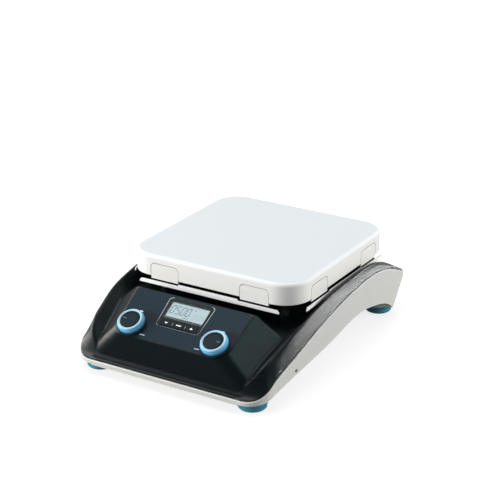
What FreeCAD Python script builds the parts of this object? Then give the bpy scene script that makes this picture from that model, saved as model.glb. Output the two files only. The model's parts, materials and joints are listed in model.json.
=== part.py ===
import FreeCAD, Part
import math
import os

# Hotplate magnetic stirrer, millimetres, +X right, +Y to the rear, +Z up.
# The origin is on the surface it stands on, in the middle of its width and length.
# Along the body a place is given as a setback, the distance behind the front edge.

V = FreeCAD.Vector
X_AXIS = V(1, 0, 0)
Y_AXIS = V(0, 1, 0)
Z_AXIS = V(0, 0, 1)

# Heated top plate and the tray below it
PLATE_SIDE = 178.0
PLATE_DEPTH = 19.9
PLATE_CORNER = 25.0
PLATE_EDGE_ROUND = 3.5
PLATE_SKIRT_WALL = 5.0
PLATE_ROOF = 6.0
CLAMP_SHEET = 1.3
TRAY_SHEET = 1.0
TRAY_OVERHANG = 2.0
SPACER_HEIGHT = 4.8
STANDOFF_HEIGHT = 13.2
TRAY_FLANGE_LOW = 3.4
TRAY_FLANGE_HIGH = 4.8
TRAY_RAISED_HALF = 31.0
TRAY_FLANGE_HALF = 73.0
TRAY_CORNER = 3.0
TRAY_CORNER_CUT = 12.0

# Plan of the body, built outwards from the plate
RIM_GAP = 4.3
RIM_TOP = 3.0
CONSOLE_DEPTH = 75.0
REAR_APRON = 37.0
FRONT_CORNER = 20.0
REAR_CORNER = 26.0
COVER_WALL = 2.5
BASE_WALL = 3.0
PARTING_GAP = 0.6
COVER_STEP = 0.7
INNER_GAP = 1.5

PLATE_HALF = PLATE_SIDE / 2
BODY_HALF = PLATE_HALF + TRAY_OVERHANG + RIM_GAP + RIM_TOP
PLATE_FRONT = CONSOLE_DEPTH
PLATE_SETBACK = CONSOLE_DEPTH + PLATE_HALF
PLATE_REAR = CONSOLE_DEPTH + PLATE_SIDE
BODY_LENGTH = PLATE_REAR + REAR_APRON
FRONT = -BODY_LENGTH / 2
PLATE_Y = FRONT + PLATE_SETBACK

# Heights of the body
FOOT_HEIGHT = 8.0
WELL_FLOOR = 50.0
WELL_HALF = 85.5
REAR_UNDERCUT = 23.0
PINCH_HEIGHT = 33.0
REAR_LOW_CORNER = 22.0
BODY_CEILING = 100.0
SECTION_FLOOR = -260.0
SECTION_HALF = BODY_HALF + 12.0

# Feet
FOOT_DIAMETER = 27.0
FOOT_X = 79.2
FRONT_FOOT_SETBACK = 18.8
REAR_FOOT_SETBACK = PLATE_REAR + 3.0
FOOT_BOSS_TOP = 13.5
FOOT_SCREW_RADIUS = 2.0
FOOT_HEAD_RADIUS = 4.0
FOOT_RECESS = 3.4
FOOT_RECESS_RADIUS = 5.5
FOOT_GROOVE_DEPTH = 1.0
FOOT_GROOVE_WIDTH = 1.6
FOOT_BOSS_RADIUS = FOOT_DIAMETER / 2 + 1.0

# Side skirts: below them each side is scooped out, which makes the hand grips
SCOOP_HALF = 76.0

# Console and its sloping panel
PANEL_TILT = 29.2
PANEL_FRONT = 7.0
PANEL_REAR = 54.0
PANEL_FRONT_HEIGHT = 41.9
PANEL_REAR_HALF = 61.0
PANEL_FRONT_HALF = 58.0
CONSOLE_FOOT_REAR = 60.0
CONSOLE_FOOT_HALF = 83.0
CONSOLE_FOOT_HEIGHT = WELL_FLOOR - 0.5
CONSOLE_BURIED = 14.0
CONSOLE_CORNER = 14.0
CONSOLE_EDGE = 1.8
OVERLAY_SHEET = 0.7
OVERLAY_PROUD = 0.2
OVERLAY_MARGIN = 1.2
OVERLAY_TOP_CORNER = 5.0
OVERLAY_LOW_CORNER = 13.0

# Display and its three keys, on the panel: across from the middle and up the slope
BEZEL_WIDTH = 44.0
BEZEL_HEIGHT = 31.5
BEZEL_UP = 34.0
BEZEL_CORNER = 3.5
BEZEL_DEPTH = 2.6
BEZEL_PROUD = 0.5
BEZEL_FIT = 0.15
BEZEL_SIDE = 2.5
WINDOW_WIDTH = BEZEL_WIDTH - 2 * BEZEL_SIDE
WINDOW_HEIGHT = 18.0
WINDOW_UP = 37.2
WINDOW_SHEET = 1.2
WINDOW_MARGIN = 0.8
LCD_WIDTH = WINDOW_WIDTH + 2.0
LCD_HEIGHT = 20.5
LCD_DEPTH = 3.5
KEY_HEIGHT = 6.0
KEY_UP = 22.6
KEY_PITCH = WINDOW_WIDTH / 3
KEY_WIDTH = KEY_PITCH - 1.6
KEY_LENGTH = 5.0
KEY_CLEARANCE = 0.3
KEY_TRAVEL = 0.5
KEY_PROUD = 0.3
KEY_LEDGE = 0.9
SWITCH_SIDE = 6.0

# Knobs
KNOB_X = 43.0
KNOB_UP = 12.6
KNOB_DIAMETER = 25.0
KNOB_STEP = 0.7
KNOB_HEIGHT = 8.2
KNOB_FOOT = 0.4
KNOB_CAP_DIAMETER = 18.4
KNOB_SKIRT_REACH = 0.8
KNOB_RING_LOW = 1.9
KNOB_UNDERSIDE = 3.0
KNOB_NUT_ROOM = 8.2
KNOB_BORE_TOP = 6.6
SHAFT_RADIUS = 3.0
SHAFT_FIT = 0.05
BUSH_RADIUS = 4.5
BUSH_TOP = 2.6
BUSH_NUT_HEIGHT = 2.0
BUSH_NUT_ACROSS = 13.0
CONTROL_BODY_SIDE = 16.0
CONTROL_BODY_DEPTH = 7.0

# Control board below the panel
CONTROL_BOARD_WIDTH = 108.0
CONTROL_BOARD_HEIGHT = 36.0
CONTROL_BOARD_UP = 23.0
CONTROL_BOARD_DEPTH = 11.5
BOARD_SHEET = 1.6
CONTROL_POST_X = 49.0
CONTROL_POST_LOW = 28.5
CONTROL_POST_HIGH = 38.0
POST_RADIUS = 3.0
BOARD_SCREW_RADIUS = 1.3
BOARD_HEAD_RADIUS = 2.4
BOARD_HEAD_HEIGHT = 1.8

# Stirring drive
MOTOR_RADIUS = 27.0
MOTOR_HEIGHT = 26.0
BRACKET_SHEET = 1.5
BRACKET_REACH = 36.0
GROMMET_HEIGHT = 2.0
GROMMET_RADIUS = 5.0
MOTOR_SHAFT_RADIUS = 2.5
MOTOR_SHAFT_FIT = 0.04
MOTOR_SHAFT_DEPTH = 8.0
MOTOR_BOSS_RADIUS = 8.0
CARRIER_HEIGHT = 5.0
CARRIER_LENGTH = 62.0
CARRIER_WIDTH = 20.0
CARRIER_LIFT = 3.6
MAGNET_RADIUS = 8.0
MAGNET_HEIGHT = 5.0
MAGNET_PROUD = 2.0
MAGNET_PITCH = 21.0
SEAL_RADIUS = 8.0
SEAL_HEIGHT = 1.5

# What carries the plate
STANDOFF_X = 64.0
STANDOFF_RADIUS = 4.0
HEATER_SIDE = 124.0
HEATER_STRIP = 6.0
HEATER_GAP = 4.0
HEATER_SHEET = 1.5
INSULATION_SIDE = 160.0
SENSOR_RADIUS = 3.0
SENSOR_COLLAR = 1.2
PLATE_BOSS_RADIUS = 6.0
STUD_RADIUS = 2.0
NUT_ACROSS = 7.0
NUT_HEIGHT = 3.0

# Clips on the skirt
CLIP_WIDTH = 29.0
CLIP_OFFSET = 47.0
CLIP_RISE = 12.1
CLIP_DROP = 2.5
CLIP_SHEET = 1.4
CLIP_CORNER = 4.0
CLIP_CLEARANCE = 0.45
CLIP_FLANGE = 10.0

# Rear bay with its connectors
BAY_HALF = 60.0
BAY_DEPTH = 26.0
BAY_FLOOR = 10.5
BAY_CEILING = 30.0
BAY_LINER = 2.5
REAR_PANEL_SHEET = 2.0
REAR_PANEL_EDGE = 0.2
REAR_PANEL_LAND = 5.0
CONNECTOR_HEIGHT = (BAY_FLOOR + BAY_CEILING) / 2
INLET_X = -38.0
INLET_WIDTH = 27.0
INLET_HEIGHT = 18.2
INLET_BODY_DEPTH = 20.0
INLET_FLANGE = 2.5
INLET_LIP = 0.4
INLET_CAVITY_WIDTH = 24.0
INLET_CAVITY_HEIGHT = 16.4
INLET_CAVITY_DEPTH = 15.0
INLET_PIN_LENGTH = 11.0
FUSE_X = -8.0
FUSE_RADIUS = 6.2
FUSE_DEPTH = 22.0
FUSE_FLANGE = 1.5
FUSE_STEM_RADIUS = 4.0
FUSE_STEM_LENGTH = 8.0
FUSE_HEAD = 4.0
SWITCH_X = 17.0
SWITCH_WIDTH = 13.0
SWITCH_HEIGHT = 16.4
SWITCH_DEPTH = 14.0
SWITCH_FLANGE = 1.5
ROCKER_ANGLE = 11.0
ROCKER_WIDTH = 9.6
ROCKER_HEIGHT = 12.0
ROCKER_PIVOT = 2.0
ROCKER_ROOM = 7.0
PROBE_X = 44.0
PROBE_RADIUS = 7.5
PROBE_CAVITY_RADIUS = 4.6
PROBE_CAVITY_DEPTH = 8.0
PROBE_DEPTH = 12.0
PROBE_LIP = 1.5
PROBE_FLANGE = 2.0

# Socket for a support rod
ROD_X = -74.0
ROD_SETBACK_FROM_REAR = 24.0
ROD_BOSS_RADIUS = 8.0
ROD_THREAD_RADIUS = 5.0
ROD_THREAD_DEPTH = 22.0
ROD_TOP = WELL_FLOOR
ROD_BOTTOM = 25.0
ROD_FLANGE = 1.5

# Power electronics on the base floor
POWER_BOARD_WIDTH = 124.0
POWER_BOARD_LENGTH = 52.0
POWER_BOARD_SETBACK = 98.0
POWER_BOARD_LIFT = 5.0
TRANSFORMER_WIDTH = 36.0
TRANSFORMER_LENGTH = 32.0
TRANSFORMER_HEIGHT = 20.0
COIL_CORNER = 4.0
COIL_INSET = 3.0
HEATSINK_WIDTH = 34.0
HEATSINK_HEIGHT = 20.0
HEATSINK_FINS = 7
HEATSINK_BACK = 3.0
HEATSINK_FIN_REACH = 8.0
HEATSINK_FIN_SHEET = 1.6
CAPACITOR_RADIUS = 5.0
CAPACITOR_HEIGHT = 16.0
CAPACITOR_PITCH = 14.0

# Housing screws and side screws
HOUSING_SCREW_X = 66.0
HOUSING_SCREW_FRONT = 40.0
HOUSING_SCREW_REAR = 50.0
HOUSING_SCREW_SETBACKS = (HOUSING_SCREW_FRONT, BODY_LENGTH - HOUSING_SCREW_REAR)
HOUSING_SCREW_RADIUS = 2.0
HOUSING_HEAD_RADIUS = 3.8
HOUSING_HEAD_HEIGHT = 2.4
HEAD_RECESS = 2.6
HOUSING_SCREW_LENGTH = 26.0
HOUSING_TIP_GAP = 1.0
HOUSING_BOSS_RADIUS = 5.0
HOUSING_JOINT_HEIGHT = 20.0
SIDE_SCREW_SETBACK = 60.2
SIDE_SCREW_HEIGHT = 20.8
SIDE_SCREW_RADIUS = 2.2
SIDE_SCREW_LENGTH = 8.0
SIDE_SCREW_SUNK = 0.6

# Levels that several pieces share
TRAY_BOTTOM = WELL_FLOOR + STANDOFF_HEIGHT
SKIRT_BOTTOM = TRAY_BOTTOM + TRAY_SHEET + SPACER_HEIGHT + CLAMP_SHEET
PLATE_TOP = SKIRT_BOTTOM + PLATE_DEPTH
CEILING_BELOW_WELL = WELL_FLOOR - COVER_WALL
MOTOR_TOP = CEILING_BELOW_WELL - GROMMET_HEIGHT - BRACKET_SHEET
CARRIER_TOP = WELL_FLOOR + CARRIER_LIFT + CARRIER_HEIGHT
MAGNET_BOTTOM = CARRIER_TOP + MAGNET_PROUD - MAGNET_HEIGHT
STUD_BOTTOM = CEILING_BELOW_WELL - NUT_HEIGHT - 1.0
STUD_TOP = SKIRT_BOTTOM + 8.0


def at(setback):
    return FRONT + setback


def box(x0, x1, y0, y1, z0, z1):
    return Part.makeBox(x1 - x0, y1 - y0, z1 - z0, V(x0, y0, z0))


def post(radius, height, x, y, z):
    return Part.makeCylinder(radius, height, V(x, y, z))


def polygon(points):
    return Part.makePolygon(list(points) + [points[0]])


def extrude(wire, direction):
    return Part.Face(wire).extrude(direction)


def rounded_outline(x_half, front, rear, front_radius, rear_radius, z):
    """Closed plan outline with its own radius on the front and the rear corners."""
    edges = []
    corners = [
        (x_half, front, front_radius, -90),
        (x_half, rear, rear_radius, 0),
        (-x_half, rear, rear_radius, 90),
        (-x_half, front, front_radius, 180),
    ]
    ends = []
    for x, y, radius, start in corners:
        centre = V(x - math.copysign(radius, x), y + (radius if y == front else -radius), z)
        points = []
        for angle in (start, start + 45, start + 90):
            turn = math.radians(angle)
            points.append(centre + V(radius * math.cos(turn), radius * math.sin(turn), 0))
        ends.append(points)
    for index, points in enumerate(ends):
        edges.append(Part.Arc(*points).toShape())
        following = ends[(index + 1) % 4][0]
        edges.append(Part.LineSegment(points[2], following).toShape())
    return Part.Wire(edges)


def rounded_plate(width, length, radius, z0, z1, x=0.0, y=0.0):
    outline = rounded_outline(width / 2, -length / 2, length / 2, radius, radius, 0)
    solid = extrude(outline, V(0, 0, z1 - z0))
    solid.translate(V(x, y, z0))
    return solid


def side_curve(points):
    """Smooth curve in the side view through points of setback and height."""
    curve = Part.BSplineCurve()
    curve.interpolate([V(0, at(setback), height) for setback, height in points])
    return curve


def height_at(curve, setback):
    low = curve.FirstParameter
    high = curve.LastParameter
    for _ in range(50):
        middle = (low + high) / 2
        if curve.value(middle).y < at(setback):
            low = middle
        else:
            high = middle
    return curve.value((low + high) / 2).z


# Line where the cover meets the base
PARTING = side_curve([
    (-2.0, 11.9),
    (0.0, 12.3),
    (16.0, 20.5),
    (50.0, 31.5),
    (PLATE_FRONT + 27.0, 45.0),
    (PLATE_SETBACK, 56.0),
    (PLATE_SETBACK + 34.0, 58.0),
    (PLATE_REAR - 13.0, 52.0),
    (BODY_LENGTH - 12.0, 35.5),
    (BODY_LENGTH + 2.0, 31.0),
])

# Lower edge of the side skirts, over the hand grips
SKIRT_EDGE = side_curve([
    (22.0, 13.0),
    (44.0, 15.5),
    (PLATE_FRONT + 11.0, 19.0),
    (PLATE_SETBACK - 33.0, 24.0),
    (PLATE_SETBACK + 22.0, 29.3),
    (PLATE_REAR - 45.0, 26.0),
    (PLATE_REAR - 14.0, 16.0),
    (PLATE_REAR - 3.0, FOOT_HEIGHT),
])

# Crest of the rim: setback, half width and height
CREST = [
    (-3.0, 70.0, 11.3),
    (0.0, 71.0, 12.9),
    (6.5, 76.0, 17.2),
    (12.5, 83.0, 28.0),
    (19.2, BODY_HALF - 10.1, 36.5),
    (35.5, BODY_HALF - 5.8, 45.5),
    (55.0, BODY_HALF - 3.0, 53.1),
    (PLATE_FRONT + 15.0, BODY_HALF - 1.4, 62.0),
    (PLATE_SETBACK - 48.0, BODY_HALF - 1.2, 66.3),
    (PLATE_SETBACK, BODY_HALF - 1.2, 69.7),
    (PLATE_SETBACK + 26.0, BODY_HALF - 1.2, 70.0),
    (PLATE_SETBACK + 47.0, BODY_HALF - 1.2, 68.0),
    (PLATE_SETBACK + 66.0, BODY_HALF - 1.2, 62.0),
    (PLATE_REAR, BODY_HALF - 1.2, WELL_FLOOR),
    (BODY_LENGTH - 12.0, BODY_HALF - 1.2, 37.2),
    (BODY_LENGTH + 3.0, BODY_HALF - 1.2, 32.0),
]

# Floor of the recess inside the rim: setback, half width and height
RECESS = [
    (6.5, 64.0, 17.2),
    (10.7, 73.5, 21.6),
    (17.3, 76.2, 26.2),
    (34.7, 77.9, 35.6),
    (49.0, 80.4, 42.2),
    (62.0, 83.0, 47.5),
    (PLATE_FRONT + 3.0, WELL_HALF, WELL_FLOOR),
    (PLATE_SETBACK - 30.0, WELL_HALF, WELL_FLOOR),
    (PLATE_SETBACK + 30.0, WELL_HALF, WELL_FLOOR),
    (PLATE_REAR - 30.0, WELL_HALF, WELL_FLOOR),
    (PLATE_REAR, WELL_HALF, WELL_FLOOR),
]


def value_between(rows, setback, column):
    for first, second in zip(rows, rows[1:]):
        if first[0] <= setback <= second[0]:
            share = (setback - first[0]) / (second[0] - first[0])
            return first[column] + share * (second[column] - first[column])
    return rows[-1][column] if setback > rows[-1][0] else rows[0][column]


def wall_half(setback):
    """Half width of the vertical outer wall, which narrows round the front corner."""
    if setback >= FRONT_CORNER:
        return BODY_HALF
    reach = FRONT_CORNER - max(setback, 0.0)
    return BODY_HALF - FRONT_CORNER + math.sqrt(FRONT_CORNER ** 2 - reach ** 2)


def rim_section(setback, crest_half, crest_height, inset):
    """Section of the leaning rim: from the crest down and out through the parting line."""
    parting_height = height_at(PARTING, max(setback, 0.0)) + 1.0
    half = max(wall_half(setback), crest_half + 0.6)
    lean = (crest_height - parting_height) / (half - crest_half)
    outer_height = crest_height - (SECTION_HALF - crest_half) * lean
    y = at(setback)
    return polygon([
        V(SECTION_HALF - inset, y, SECTION_FLOOR),
        V(SECTION_HALF - inset, y, outer_height - inset),
        V(crest_half - inset, y, crest_height - inset),
        V(-crest_half + inset, y, crest_height - inset),
        V(-SECTION_HALF + inset, y, outer_height - inset),
        V(-SECTION_HALF + inset, y, SECTION_FLOOR),
    ])


def recess_section(setback, floor_half, floor_height, inset):
    y = at(setback)
    crest_half = value_between(CREST, setback, 1) - RIM_TOP / 2 + inset
    crest_height = value_between(CREST, setback, 2)
    low_half = floor_half + inset
    low = floor_height - inset
    return polygon([
        V(low_half, y, low),
        V(crest_half, y, max(crest_height, low + 0.2)),
        V(crest_half, y, BODY_CEILING),
        V(-crest_half, y, BODY_CEILING),
        V(-crest_half, y, max(crest_height, low + 0.2)),
        V(-low_half, y, low),
    ])


def plan_prism(inset):
    outline = rounded_outline(
        BODY_HALF - inset, FRONT + inset, -FRONT - inset,
        FRONT_CORNER - inset, REAR_CORNER - inset, FOOT_HEIGHT)
    return extrude(outline, V(0, 0, BODY_CEILING - FOOT_HEIGHT))


def above_parting(lift):
    """Space above the parting line, raised by a gap."""
    curve = PARTING.toShape()
    start = curve.Vertexes[0].Point
    end = curve.Vertexes[-1].Point
    wire = Part.Wire([
        curve,
        Part.LineSegment(end, V(0, end.y, BODY_CEILING)).toShape(),
        Part.LineSegment(V(0, end.y, BODY_CEILING), V(0, start.y, BODY_CEILING)).toShape(),
        Part.LineSegment(V(0, start.y, BODY_CEILING), start).toShape(),
    ])
    solid = extrude(wire, V(2 * SECTION_HALF, 0, 0))
    solid.translate(V(-SECTION_HALF, 0, lift))
    return solid


def rim_body(inset):
    sections = [rim_section(*row, inset) for row in CREST]
    return Part.makeLoft(sections, True, False)


def recess(inset):
    """Smooth at the front and straight below the plate, where the floor is level."""
    sections = [recess_section(*row, inset) for row in RECESS]
    level = [row[2] for row in RECESS].index(WELL_FLOOR)
    front = Part.makeLoft(sections[:level + 1], True, False)
    return front.fuse(Part.makeLoft(sections[level:], True, True))


def panel_height(setback):
    return PANEL_FRONT_HEIGHT + (setback - PANEL_FRONT) * math.tan(math.radians(PANEL_TILT))


def flank_plane():
    """Normal of the right flank and a point on it, from three corners of the console."""
    high = V(PANEL_REAR_HALF, at(PANEL_REAR), panel_height(PANEL_REAR))
    front = V(PANEL_FRONT_HALF, at(PANEL_FRONT), panel_height(PANEL_FRONT))
    foot = V(CONSOLE_FOOT_HALF, at(CONSOLE_FOOT_REAR), CONSOLE_FOOT_HEIGHT)
    normal = (front - high).cross(foot - high)
    normal.normalize()
    return high, (normal if normal.x > 0 else normal * -1)


def console(inset):
    """Raised block that carries the panel, inset on every side for its hollow."""
    tilt = math.radians(PANEL_TILT)
    back_lean = (CONSOLE_FOOT_REAR - PANEL_REAR) / (panel_height(PANEL_REAR) - CONSOLE_FOOT_HEIGHT)
    front = PANEL_FRONT + inset
    drop = inset / math.cos(tilt)
    front_height = panel_height(front) - drop
    rear_at_panel = PANEL_REAR - inset * math.sqrt(1 + back_lean ** 2) + drop * back_lean
    share = 1 + back_lean * math.tan(tilt)
    rear = PANEL_REAR + (rear_at_panel - PANEL_REAR) / share
    rear_height = panel_height(rear) - drop
    foot_rear = rear + (rear_height - CONSOLE_BURIED) * back_lean
    outline = [
        (front, front_height),
        (rear, rear_height),
        (foot_rear, CONSOLE_BURIED),
        (front, CONSOLE_BURIED),
    ]
    side = polygon([V(-SECTION_HALF, at(s), z) for s, z in outline])
    block = extrude(side, V(2 * SECTION_HALF, 0, 0))
    beyond = beyond_flank(inset)
    block = block.cut(beyond).cut(beyond.mirror(V(0, 0, 0), X_AXIS))
    return round_console(block, front, inset)


def beyond_flank(inset):
    """Space outside the right flank of the console."""
    point, normal = flank_plane()
    reach = 2 * BODY_LENGTH
    slab = box(-reach, reach, -reach, reach, 0.0, reach)
    slab.Placement = FreeCAD.Placement(point - normal * inset, FreeCAD.Rotation(Z_AXIS, normal))
    return slab


def round_console(block, front, inset):
    """Rounds the two front corners and, on the outside, the edges of the panel."""
    uprights = []
    for edge in block.Edges:
        ends = [vertex.Point for vertex in edge.Vertexes]
        on_front = all(abs(end.y - at(front)) < 0.01 for end in ends)
        if on_front and abs(ends[0].z - ends[1].z) > 1.0:
            uprights.append(edge)
    block = block.makeFillet(CONSOLE_CORNER - inset, uprights)
    if inset > 0:
        return block
    panel = max(block.Faces, key=lambda face: face.CenterOfMass.z)
    return block.makeFillet(CONSOLE_EDGE, panel.Edges)


def on_panel(shape):
    """Places a shape made flat, x across and y up the slope, on the panel."""
    placed = shape.copy()
    placed.rotate(V(0, 0, 0), X_AXIS, PANEL_TILT)
    placed.translate(V(0, at(PANEL_FRONT), PANEL_FRONT_HEIGHT))
    return placed


def panel_slope_length():
    return (PANEL_REAR - PANEL_FRONT) / math.cos(math.radians(PANEL_TILT))


def rear_bay(grown):
    """Space of the recess that holds the connectors, open to the rear."""
    return box(
        -BAY_HALF - grown, BAY_HALF + grown, -FRONT - BAY_DEPTH - grown, -FRONT + 10.0,
        BAY_FLOOR - grown, BAY_CEILING + grown)


def cover_form(inset):
    """Body of the cover before it is hollowed, inset on every face."""
    plan = plan_prism(COVER_STEP + inset)
    form = plan.common(rim_body(inset)).cut(recess(inset))
    return form.fuse(console(inset).common(plan))


def inner_zone():
    """Space inside the base walls, where the cover may reach below the parting line."""
    gap = PARTING_GAP / 2
    zone = plan_prism(BASE_WALL + INNER_GAP).cut(rear_bay(BAY_LINER + gap)).cut(scoop(BASE_WALL + gap))
    for x, y in foot_places().values():
        zone = zone.cut(post(FOOT_BOSS_RADIUS + gap, FOOT_BOSS_TOP + gap, x, y, 0.0))
    return zone


def housing_screw_places():
    return [(side * HOUSING_SCREW_X, at(setback))
            for side in (-1, 1) for setback in HOUSING_SCREW_SETBACKS]


def standoff_places():
    return [(x, PLATE_Y + y) for x in (-STANDOFF_X, STANDOFF_X) for y in (-STANDOFF_X, STANDOFF_X)]


def panel_box(x, up, width, height, low, high):
    return on_panel(box(x - width / 2, x + width / 2, up - height / 2, up + height / 2, low, high))


def panel_post(radius, x, up, low, high):
    return on_panel(post(radius, high - low, x, up, low))


def overlay_sheet(grown, low, high):
    """Rounded trapezium of the panel sheet, between two depths."""
    length = panel_slope_length()
    margin = OVERLAY_MARGIN - grown
    front = margin
    rear = length - margin
    front_half = PANEL_FRONT_HALF - margin
    rear_half = PANEL_REAR_HALF - margin
    sheet = extrude(polygon([
        V(-front_half, front, low), V(front_half, front, low),
        V(rear_half, rear, low), V(-rear_half, rear, low)]), V(0, 0, high - low))
    front_edges = []
    rear_edges = []
    for edge in sheet.Edges:
        ends = [vertex.Point for vertex in edge.Vertexes]
        if abs(ends[0].z - ends[1].z) < 0.01:
            continue
        (front_edges if ends[0].y < length / 2 else rear_edges).append(edge)
    sheet = sheet.makeFillet(OVERLAY_LOW_CORNER, front_edges)
    rear_edges = [edge for edge in sheet.Edges
                  if all(abs(vertex.Y - rear) < 0.01 for vertex in edge.Vertexes)
                  and abs(edge.Vertexes[0].Z - edge.Vertexes[-1].Z) > 0.01]
    return on_panel(sheet.makeFillet(OVERLAY_TOP_CORNER, rear_edges))


def control_post_places():
    return [(x, up) for x in (-CONTROL_POST_X, CONTROL_POST_X)
            for up in (CONTROL_POST_LOW, CONTROL_POST_HIGH)]


def bezel_block(grown, low, high):
    block = rounded_plate(BEZEL_WIDTH + 2 * grown, BEZEL_HEIGHT + 2 * grown,
                          BEZEL_CORNER + grown, low, high, 0.0, BEZEL_UP)
    return on_panel(block)


def rod_y():
    return -FRONT - ROD_SETBACK_FROM_REAR


def top_cover():
    outer = cover_form(0.0)
    hollow = cover_form(COVER_WALL)
    shell = outer.cut(hollow)
    for x, y in housing_screw_places():
        boss = post(HOUSING_BOSS_RADIUS, BODY_CEILING, x, y, HOUSING_JOINT_HEIGHT)
        shell = shell.fuse(boss.common(outer))
    sleeve = post(ROD_BOSS_RADIUS + COVER_WALL, ROD_TOP - ROD_BOTTOM, ROD_X, rod_y(), ROD_BOTTOM)
    for x, up in control_post_places():
        shell = shell.fuse(panel_post(POST_RADIUS, x, up, -CONTROL_BOARD_DEPTH, -COVER_WALL / 2))
    shell = shell.common(above_parting(PARTING_GAP).fuse(inner_zone()))
    shell = shell.fuse(sleeve)
    return cut_cover_openings(shell)


def cut_cover_openings(shell):
    shell = shell.cut(post(ROD_BOSS_RADIUS, BODY_CEILING, ROD_X, rod_y(), 0.0))
    shell = shell.cut(post(SEAL_RADIUS, BODY_CEILING, 0.0, PLATE_Y, MOTOR_TOP))
    shell = shell.cut(overlay_sheet(0.05, OVERLAY_PROUD - OVERLAY_SHEET, 5.0))
    shell = shell.cut(bezel_block(BEZEL_FIT, -BEZEL_DEPTH - 2.0, 5.0))
    for side in (-1, 1):
        shell = shell.cut(panel_post(BUSH_RADIUS + BEZEL_FIT, side * KNOB_X, KNOB_UP, -6.0, 5.0))
    for x, y in housing_screw_places():
        shell = shell.cut(post(HOUSING_SCREW_RADIUS, HOUSING_SCREW_LENGTH, x, y, FOOT_HEIGHT))
    for x, y in standoff_places():
        shell = shell.cut(post(STUD_RADIUS, WELL_FLOOR, x, y, STUD_BOTTOM))
    return shell


def base_form(inset):
    """Body of the base below the parting line, with its undercut rear."""
    low_rear = -FRONT - REAR_UNDERCUT
    floor = FOOT_HEIGHT + inset
    low = rounded_outline(BODY_HALF - inset, FRONT + inset, low_rear - inset,
                          FRONT_CORNER - inset, REAR_LOW_CORNER - inset, floor)
    pinch = rounded_outline(BODY_HALF - inset, FRONT + inset, -FRONT - inset,
                            FRONT_CORNER - inset, REAR_CORNER - inset, PINCH_HEIGHT)
    lower = Part.makeLoft([low, pinch], True, True)
    upper = extrude(pinch, V(0, 0, BODY_CEILING - PINCH_HEIGHT))
    return lower.fuse(upper)


def scoop(grown):
    """Space below the edge of both side skirts."""
    curve = SKIRT_EDGE.toShape()
    curve.translate(V(0, 0, grown))
    start = curve.Vertexes[0].Point
    end = curve.Vertexes[-1].Point
    wire = Part.Wire([
        curve,
        Part.LineSegment(end, V(0, end.y, 0)).toShape(),
        Part.LineSegment(V(0, end.y, 0), V(0, FRONT - 5.0, 0)).toShape(),
        Part.LineSegment(V(0, FRONT - 5.0, 0), V(0, FRONT - 5.0, FOOT_HEIGHT + grown)).toShape(),
        Part.LineSegment(V(0, FRONT - 5.0, FOOT_HEIGHT + grown), start).toShape(),
    ])
    reach = SECTION_HALF - SCOOP_HALF + grown
    right = extrude(wire, V(reach, 0, 0))
    right.translate(V(SCOOP_HALF - grown, 0, 0))
    return right.fuse(right.mirror(V(0, 0, 0), X_AXIS))


def foot_places():
    return {
        "foot_front_left": (-FOOT_X, at(FRONT_FOOT_SETBACK)),
        "foot_front_right": (FOOT_X, at(FRONT_FOOT_SETBACK)),
        "foot_rear_left": (-FOOT_X, at(REAR_FOOT_SETBACK)),
        "foot_rear_right": (FOOT_X, at(REAR_FOOT_SETBACK)),
    }


def power_post_places():
    reach_x = POWER_BOARD_WIDTH / 2 - POST_RADIUS - 1.0
    reach_y = POWER_BOARD_LENGTH / 2 - POST_RADIUS - 1.0
    return [(x, at(POWER_BOARD_SETBACK) + y) for x in (-reach_x, reach_x) for y in (-reach_y, reach_y)]


def side_screw_hole(radius, depth, side):
    hole = Part.makeCylinder(radius, depth, V(0, 0, 0), X_AXIS * -side)
    hole.translate(V(side * BODY_HALF, at(SIDE_SCREW_SETBACK), SIDE_SCREW_HEIGHT))
    return hole


def bay_y():
    return -FRONT - BAY_DEPTH


def base_housing():
    outer = base_form(0.0)
    floor_top = FOOT_HEIGHT + BASE_WALL
    hollow = base_form(BASE_WALL).cut(scoop(BASE_WALL))
    shell = outer.cut(scoop(0.0)).cut(hollow)
    shell = shell.fuse(rear_bay(BAY_LINER).common(outer))
    for x, y in foot_places().values():
        boss = post(FOOT_BOSS_RADIUS, FOOT_BOSS_TOP - FOOT_HEIGHT, x, y, FOOT_HEIGHT)
        shell = shell.fuse(boss.common(outer))
    for x, y in housing_screw_places():
        shell = shell.fuse(post(HOUSING_BOSS_RADIUS, HOUSING_JOINT_HEIGHT - floor_top + 1.0,
                                x, y, floor_top - 1.0))
    for x, y in power_post_places():
        shell = shell.fuse(post(POST_RADIUS, POWER_BOARD_LIFT + 1.0, x, y, floor_top - 1.0))
    shell = shell.cut(above_parting(0.0))
    return cut_base_openings(shell)


def cut_base_openings(shell):
    shell = shell.cut(rear_bay(0.0))
    window = BAY_HALF - REAR_PANEL_LAND
    shell = shell.cut(box(-window, window, bay_y() - 2 * BAY_LINER, bay_y() + 1.0,
                          BAY_FLOOR + REAR_PANEL_EDGE, BAY_CEILING - REAR_PANEL_EDGE))
    for x, y in housing_screw_places():
        shell = shell.cut(post(HOUSING_SCREW_RADIUS + 0.2, HOUSING_SCREW_LENGTH, x, y, 0.0))
        shell = shell.cut(post(HOUSING_HEAD_RADIUS + 0.3, FOOT_HEIGHT + HEAD_RECESS, x, y, 0.0))
    for x, y in foot_places().values():
        shell = shell.cut(post(FOOT_SCREW_RADIUS, FOOT_BOSS_TOP, x, y, 0.0))
    for side in (-1, 1):
        shell = shell.cut(side_screw_hole(SIDE_SCREW_RADIUS, SIDE_SCREW_LENGTH + SIDE_SCREW_SUNK, side))
    return shell


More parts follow.
